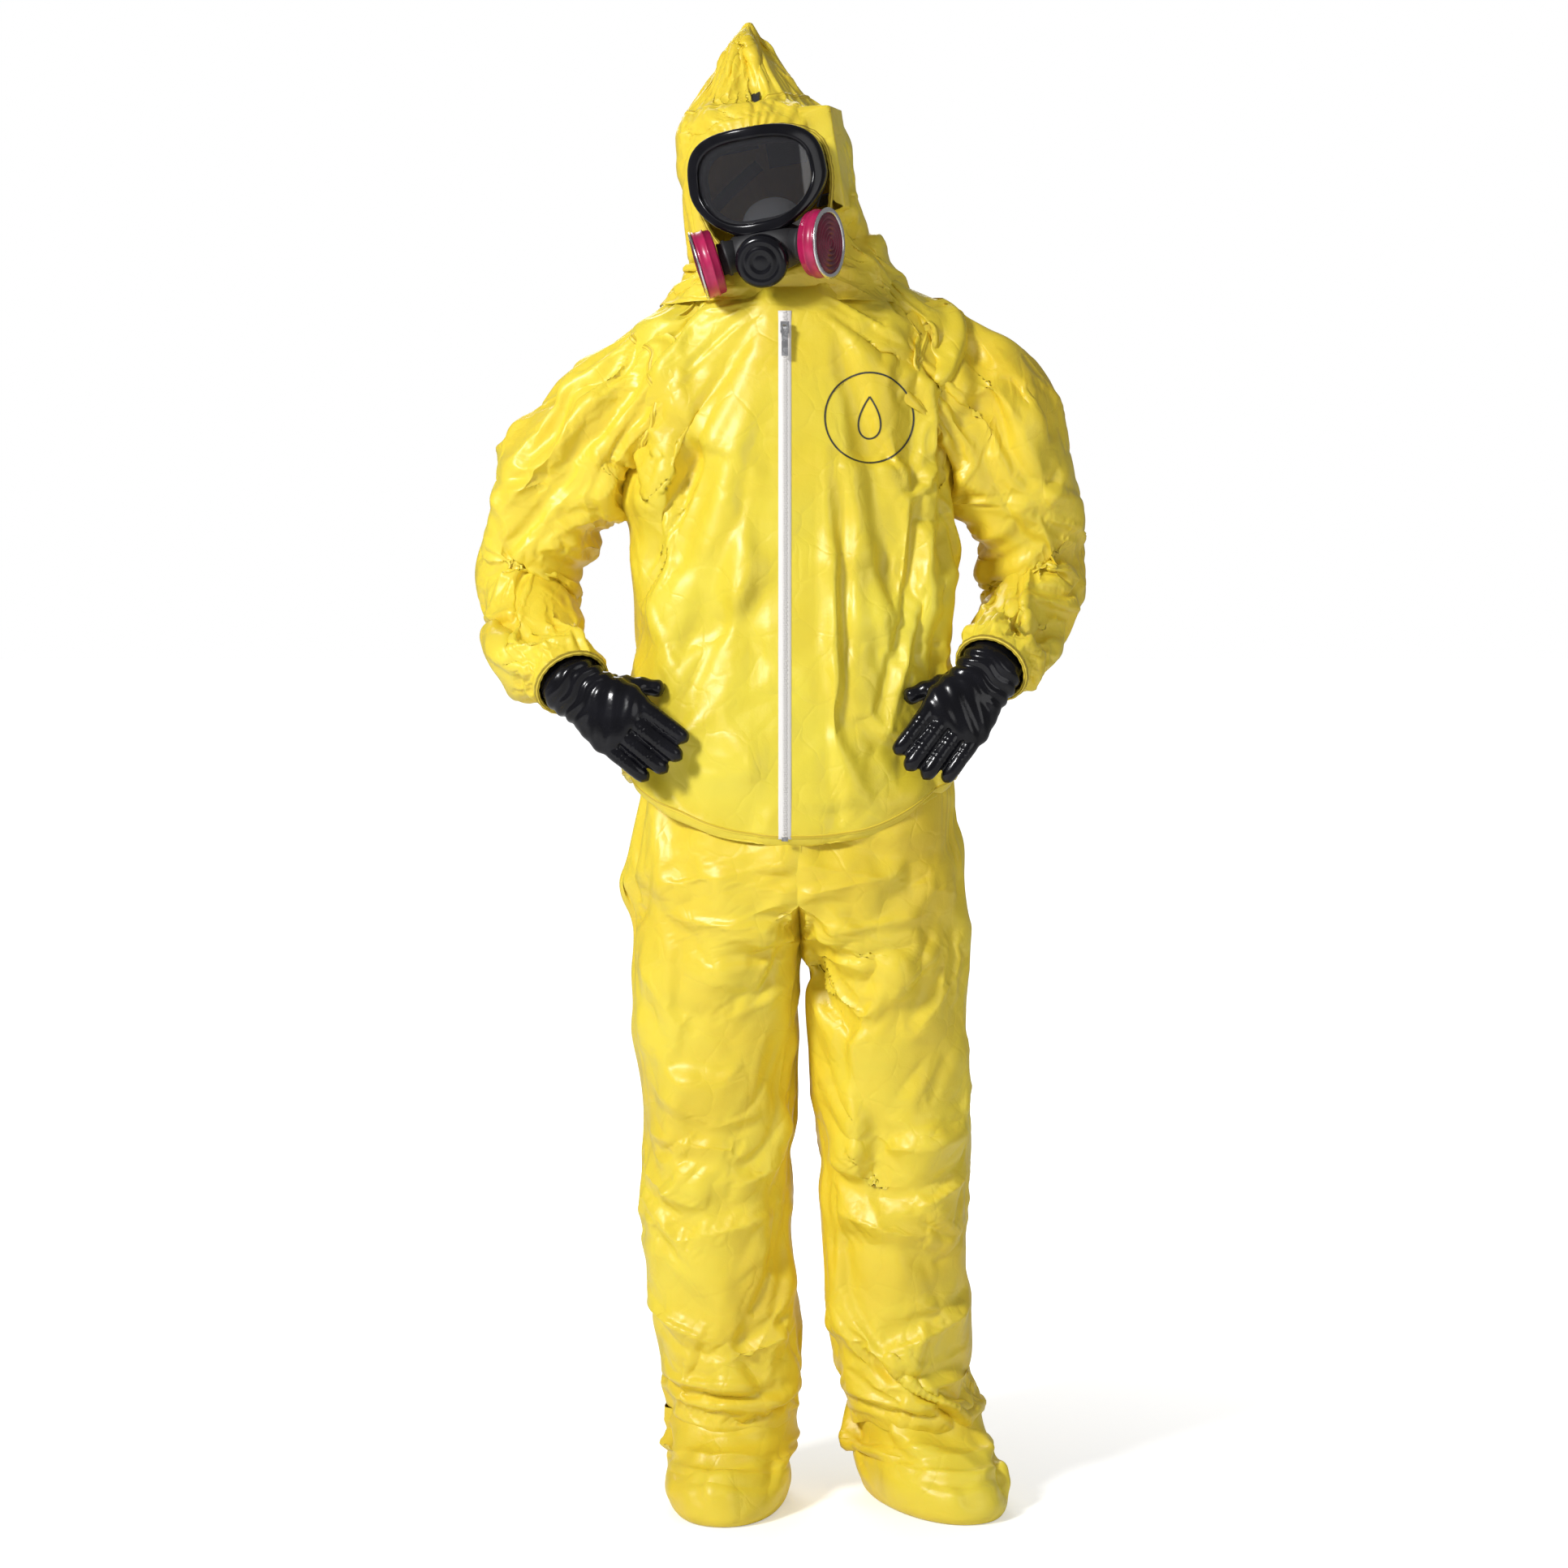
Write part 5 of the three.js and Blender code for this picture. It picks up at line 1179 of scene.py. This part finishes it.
def fingerTube(start, direction, curlTo, length, radius, curl):
    steps = np.linspace(0, 1, 13)
    bend = steps**2 * curl * length
    centre = start + direction * (steps * length)[:, None] + curlTo * bend[:, None]
    knuckle = 1 + 0.05 * np.exp(-(((steps - 0.38) / 0.07) ** 2)) + 0.04 * np.exp(-(((steps
        - 0.70) / 0.06) ** 2))
    tip = np.sqrt(np.maximum(1 - np.maximum(0, (steps - 0.86) / 0.14) ** 2, 0.004))
    size = radius * knuckle * (1 - 0.12 * steps) * tip
    side = unit(np.cross(direction, curlTo))
    return [(c, side * s, np.cross(direction, side) * s) for c, s in zip(centre, size)]


for side, hand in (("right", -1), ("left", 1)):
    elbow, cuff = (jointPlace(f"{joint}_{side}") for joint in ("elbow_straighten", "wrist_bend"))
    tips = vec(*gloveLook["tips"][side])
    lower = unit(cuff - elbow)
    reach = unit(tips - cuff)
    outward = unit(vec(0, -1, 0) + reach * reach[1])
    thumbward = unit(np.cross(reach, outward) * hand)
    place = lambda forward, wide, out=0.0: cuff + reach * forward + thumbward * wide + outward * out

    def ring(centre, ahead, wide, deep):
        across = unit(thumbward - ahead * (thumbward @ ahead))
        return centre, across * wide, np.cross(ahead, across) * deep
    between = unit(lower + reach)
    palm = sweptTube([
        ring(cuff - lower * 0.030, lower, 0.036, 0.036), ring(cuff - lower * 0.006, lower, 0.0385, 0.036),
        ring(cuff + lower * 0.012, unit(lower * 2 + reach), 0.040, 0.034),
        ring(place(0.034, 0), between, 0.040, 0.029),
        ring(place(0.056, 0.001), reach, 0.044, 0.024), ring(place(0.076, 0.001), reach, 0.0475, 0.021),
        ring(place(0.092, 0), reach, 0.046, 0.018), ring(place(0.104, 0), reach, 0.040, 0.013)], 64, 40,
        power=0.9)
    shapes = [palm]
    for share, length, curl, radius in gloveLook["fingers"]:
        start = place(0.080, share * 0.0335, 0.001)
        aim = unit(reach + thumbward * share * 0.022)
        shapes.append(sweptTube(fingerTube(start, aim, -outward, length + 0.020, radius, curl), 24, 26))
    thumbStart = place(0.030, 0.022, -0.008)
    thumbAim = unit(reach * 0.78 + thumbward * 0.55 - outward * 0.25)
    shapes.append(sweptTube(fingerTube(thumbStart, thumbAim, unit(reach - outward * 0.6), 0.078, 0.0125,
                                       0.05), 24, 26))
    points, faces, shift = [], [], 0
    for shape in shapes:
        rows, cols = shape.shape[:2]
        ends = np.stack([shape[0].mean(0), shape[-1].mean(0)])
        points.append(np.vstack([shape.reshape(-1, 3), ends]))
        faces += (gridFaces(rows, cols, True) + shift).tolist()
        ringA, ringB = np.arange(cols), (rows - 1) * cols + np.arange(cols)
        faces += (np.stack([np.full(cols, rows * cols), np.roll(ringA, -1), ringA], -1) + shift).tolist()
        faces += (np.stack([np.full(cols, rows * cols + 1), ringB, np.roll(ringB, -1)], -1) + shift).tolist()
        shift += rows * cols + 2
    glove = meshFrom(f"glove_{side}_rubber", np.vstack(points), faces, "glove")
    melt = glove.modifiers.new("melt", "REMESH")
    melt.mode = "VOXEL"
    melt.voxel_size = gloveLook["voxel"]
    soften = glove.modifiers.new("soften", "SMOOTH")
    soften.factor, soften.iterations = 0.5, 5
    melted = bpy.data.meshes.new_from_object(glove.evaluated_get(bpy.context.evaluated_depsgraph_get()))
    glove.modifiers.clear()
    glove.data = melted
    count = len(melted.vertices)
    co, normal = np.empty(count * 3, np.float32), np.empty(count * 3, np.float32)
    melted.vertices.foreach_get("co", co)
    melted.vertices.foreach_get("normal", normal)
    co, normal = co.reshape(-1, 3).astype(float), normal.reshape(-1, 3)
    rel = co - cuff
    forward, wide, out = rel @ reach, rel @ thumbward, rel @ outward
    wrinkle = 0.0016 * np.sin(forward * 420 + 1.2
                              * np.sin(wide * 130)) * np.exp(-(((forward - 0.022) / 0.022) ** 2))
    wrinkle += 0.0009 * np.sin(forward * 260 + wide * 160) * smooth(0.03, 0.06, forward) * (1
        - smooth(0.085, 0.11, forward))
    for knuckle in (0.118, 0.142):
        wrinkle += 0.0005 * np.sin((forward - knuckle)
                                   * 1100) * np.exp(-(((forward - knuckle) / 0.006) ** 2)) * (out > 0)
    co += normal * wrinkle[:, None]
    melted.vertices.foreach_set("co", co.astype(np.float32).ravel())
    melted.polygons.foreach_set("use_smooth", np.ones(len(melted.polygons), bool))
    melted.materials.clear()
    melted.materials.append(finishes["glove"])
    melted.update()
    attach(glove, f"hand_{side}")
    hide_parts(f"glove_{side}")
    # the gathered elastic of the cuff
    angle = 2 * np.pi * np.arange(160) / 160
    across = unit(thumbward - lower * (thumbward @ lower))
    other = np.cross(lower, across)
    path = cuff + lower * 0.003 + 0.0455 * (across * np.cos(angle)[:, None] + other * np.sin(angle)[:, None])
    cuffRoll = loopTube(f"cuffElastic_{side}", path, 0.0034, "elastic", pleats=0.1)
    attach(cuffRoll, f"forearm_{side}")
    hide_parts(f"cuff_elastic_{side}")
report("gloves")

# zip
slide = joints["zip_slide"]
down = np.array(slide["axis"], float)
tapeLow, tapeHigh = boxOf("zip_tape")
zipX = (tapeLow[0] + tapeHigh[0]) / 2
zipTop = vec(zipX, 0, tapeHigh[2] - 0.006)
zipLength = (tapeHigh[2] - tapeLow[2] - 0.010) / -down[2]


def onFront(x, z):  # the jacket's front surface at a place across and up
    hit = jacketTree.ray_cast(Vector((x, -1, z)), Vector((0, 1, 0)))[0]
    return hit[1] if hit else -0.1


steps = 160
zipZ = np.linspace(zipTop[2], zipTop[2] + down[2] * zipLength, steps)
zipY = np.array([min(onFront(zipX + dx, z) for dx in (-0.007, 0, 0.007)) for z in zipZ])
kernel = np.ones(9) / 9
zipY = np.convolve(np.pad(zipY, 4, "edge"), kernel, "valid") - 0.0012
profile = [(-0.0085, 0.0022), (-0.0078, 0.0004), (-0.0030, -0.0004), (0, -0.0006), (0.0030, -0.0004),
           (0.0078, 0.0004), (0.0085, 0.0022)]
tape = np.stack([np.stack([np.full(steps, zipX + a), zipY + b, zipZ], -1) for a, b in profile], 1)
tapePiece = gridPiece("zipTape", tape[:, ::-1], "zip", wraps=False, wall=0.0006)
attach(tapePiece, "torso")
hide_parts("zip_tape")
teeth = int(zipLength / 0.0028)
t = (np.arange(teeth) + 0.5) / teeth
centre = np.stack([zipX + 0.0006 * np.where(np.arange(teeth) % 2, 1, -1),
                   np.interp(t, np.linspace(0, 1, steps), zipY) - 0.0011,
                   zipTop[2] + down[2] * zipLength * t], -1)
corner = np.array([(x, y, z) for x in (-1, 1) for y in (-1, 1) for z in (-1, 1)], float) * vec(0.0021,
    0.0009, 0.0010)
points = (centre[:, None] + corner[None]).reshape(-1, 3)
cube = np.array([(0, 1, 3, 2), (4, 6, 7, 5), (0, 4, 5, 1), (2, 3, 7, 6), (0, 2, 6, 4), (1, 5, 7, 3)])
faces = (cube[None] + 8 * np.arange(teeth)[:, None, None]).reshape(-1, 4)
teethPiece = meshFrom("zipTeeth", points, faces.tolist(), "zip", smoothShade=False)
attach(teethPiece, "torso")
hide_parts("zip_coil")
report("zip")

# chest mark: a plain ring with a plain bar inside, no lettering
markLook = {"x": 0.107, "z": 1.399, "radius": 0.056, "line": 0.0022}


def printLine(name, xz, width):
    ahead = np.gradient(xz, axis=0)
    across = np.stack([ahead[:, 1], -ahead[:, 0]], -1)
    across /= np.maximum(np.linalg.norm(across, axis=1, keepdims=True), 1e-9)
    sides = [xz + across * width * k for k in (-0.5, 0, 0.5)]
    grid = np.array([[(x, onFront(x, z) - 0.0007, z) for x, z in side] for side in sides])
    piece = gridPiece(name, grid, "print", wraps=False)
    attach(piece, "torso")
    return piece


ringAngle = np.linspace(0, 2 * np.pi, 121)
ringXz = np.stack([np.cos(ringAngle), np.sin(ringAngle)], -1)
printLine("chestRing", vec(markLook["x"], markLook["z"]) + ringXz * markLook["radius"], markLook["line"])
dropAngle = np.linspace(0, 2 * np.pi, 81)
drop = np.stack([0.018 * np.sin(dropAngle) * np.sin(dropAngle / 2), 0.026 * np.cos(dropAngle)], -1)
printLine("chestDrop", vec(markLook["x"], markLook["z"]) + drop, markLook["line"])

# seams
for side in ("right", "left"):
    band = seamBand(f"armholeSeam_{side}", sleeveCloth[side], [(0, 0.035), (0.5, 0.035), (1, 0.035)],
                    width=0.008)
    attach(band, "torso")
waist = seamBand("hemSeam", jacketCloth, [(0, 0.06), (1, 0.06)], width=0.005)
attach(waist, "torso")
crownSeam = seamBand("crownSeam", hoodCloth, [(0.0, 0.67), (1.0, 0.67)], width=0.006)
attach(crownSeam, "head")
report("seams")

# kept CAD nodes get the matching finish
for node, finish in (("outlet_flap", "rubber"), ("inlet_flap_right", "rubber"), ("inlet_flap_left", "rubber"),
                     ("temple_strap_right", "rubber"), ("temple_strap_left", "rubber"),
                     ("cheek_strap_right", "rubber"),
                     ("cheek_strap_left", "rubber"), ("crown_strap", "rubber"), ("harness_pad", "rubber"),
                     ("zip_slider", "metal"), ("zip_pull", "metal"), ("zip_bottom_stop", "metal")):
    for slotOf in frame["nodes"][node].material_slots:
        slotOf.material = finishes[finish]

# floor, light and camera
studio = {"distance": 4.6, "height": 1.22, "aim": 0.935, "lens": 82.6, "ambient": 0.22, "floorGlow": 0.35,
          "glowReach": 2.6}


def paleFloor():
    f = Finish("paleFloor", (0.93, 0.93, 0.93), 0.9)
    rays, near, glow = (f.nodes.new(kind) for kind in ("ShaderNodeLightPath", "ShaderNodeMath",
                                                       "ShaderNodeMath"))
    reach = 1 / studio["glowReach"]
    ball = f.pattern("ShaderNodeTexGradient", stretch=(reach, reach, reach), gradient_type="SPHERICAL")
    near.operation, glow.operation = "MULTIPLY_ADD", "MULTIPLY"
    near.inputs[1].default_value, near.inputs[2].default_value = studio["floorGlow"] - 1, 1.0
    f.links.new(ball.outputs["Fac"], near.inputs[0])
    f.links.new(near.outputs[0], glow.inputs[1])
    f.links.new(rays.outputs["Is Camera Ray"], glow.inputs[0])
    f.links.new(glow.outputs[0], f.shader.inputs["Emission Strength"])
    f.shader.inputs["Emission Color"].default_value = (1, 1, 1, 1)
    f.tint(f.pattern("ShaderNodeTexNoise", scale=2).outputs["Fac"], (0.92, 0.92, 0.92), (0.95, 0.95, 0.95))
    return f.mat


finishes["floor"] = paleFloor()
floor = meshFrom("floor", np.array([[-30, -8, 0], [30, -8, 0], [30, 40, 0], [-30, 40, 0]], float),
                 [(0, 1, 2, 3)], "floor")


def areaLight(name, place, aim, size, power, color=(1, 1, 1)):
    data = bpy.data.lights.new(name, "AREA")
    data.shape, data.size, data.energy, data.color = "DISK", size, power, color
    lamp = bpy.data.objects.new(name, data)
    lamp.location = place
    lamp.rotation_euler = (Vector(aim) - Vector(place)).to_track_quat("-Z", "Y").to_euler()
    scene.collection.objects.link(lamp)


areaLight("keyLight", (-2.6, -3.0, 3.2), (0, 0, 1.05), 0.9, 172)
areaLight("fillLight", (2.6, -3.4, 1.6), (0, 0, 0.9), 2.4, 26)
areaLight("backLight", (-0.4, 3.2, 3.4), (0, 0, 1.0), 2.4, 60)
world = bpy.data.worlds.new("studio")
world.use_nodes = True
worldNodes, worldLinks = world.node_tree.nodes, world.node_tree.links
backdrop, ambient, either, rays = (worldNodes.new(f"ShaderNode{kind}")
                                   for kind in ("Background", "Background", "MixShader", "LightPath"))
backdrop.inputs["Strength"].default_value = 1.0
ambient.inputs["Strength"].default_value = studio["ambient"]
for shade in (backdrop, ambient):
    shade.inputs["Color"].default_value = (1, 1, 1, 1)
worldLinks.new(rays.outputs["Is Camera Ray"], either.inputs["Fac"])
worldLinks.new(ambient.outputs["Background"], either.inputs[1])
worldLinks.new(backdrop.outputs["Background"], either.inputs[2])
worldLinks.new(either.outputs["Shader"], worldNodes["World Output"].inputs["Surface"])
scene.world = world
scene.view_settings.view_transform = "Standard"
cameraData = bpy.data.cameras.new("camera")
cameraData.lens = studio["lens"]
camera = bpy.data.objects.new("camera", cameraData)
camera.location = (0.0, -studio["distance"], studio["height"])
camera.rotation_euler = (Vector((0, 0, studio["aim"])) - camera.location).to_track_quat("-Z", "Y").to_euler()
scene.collection.objects.link(camera)
scene.camera = camera

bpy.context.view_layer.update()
report("scene ready")
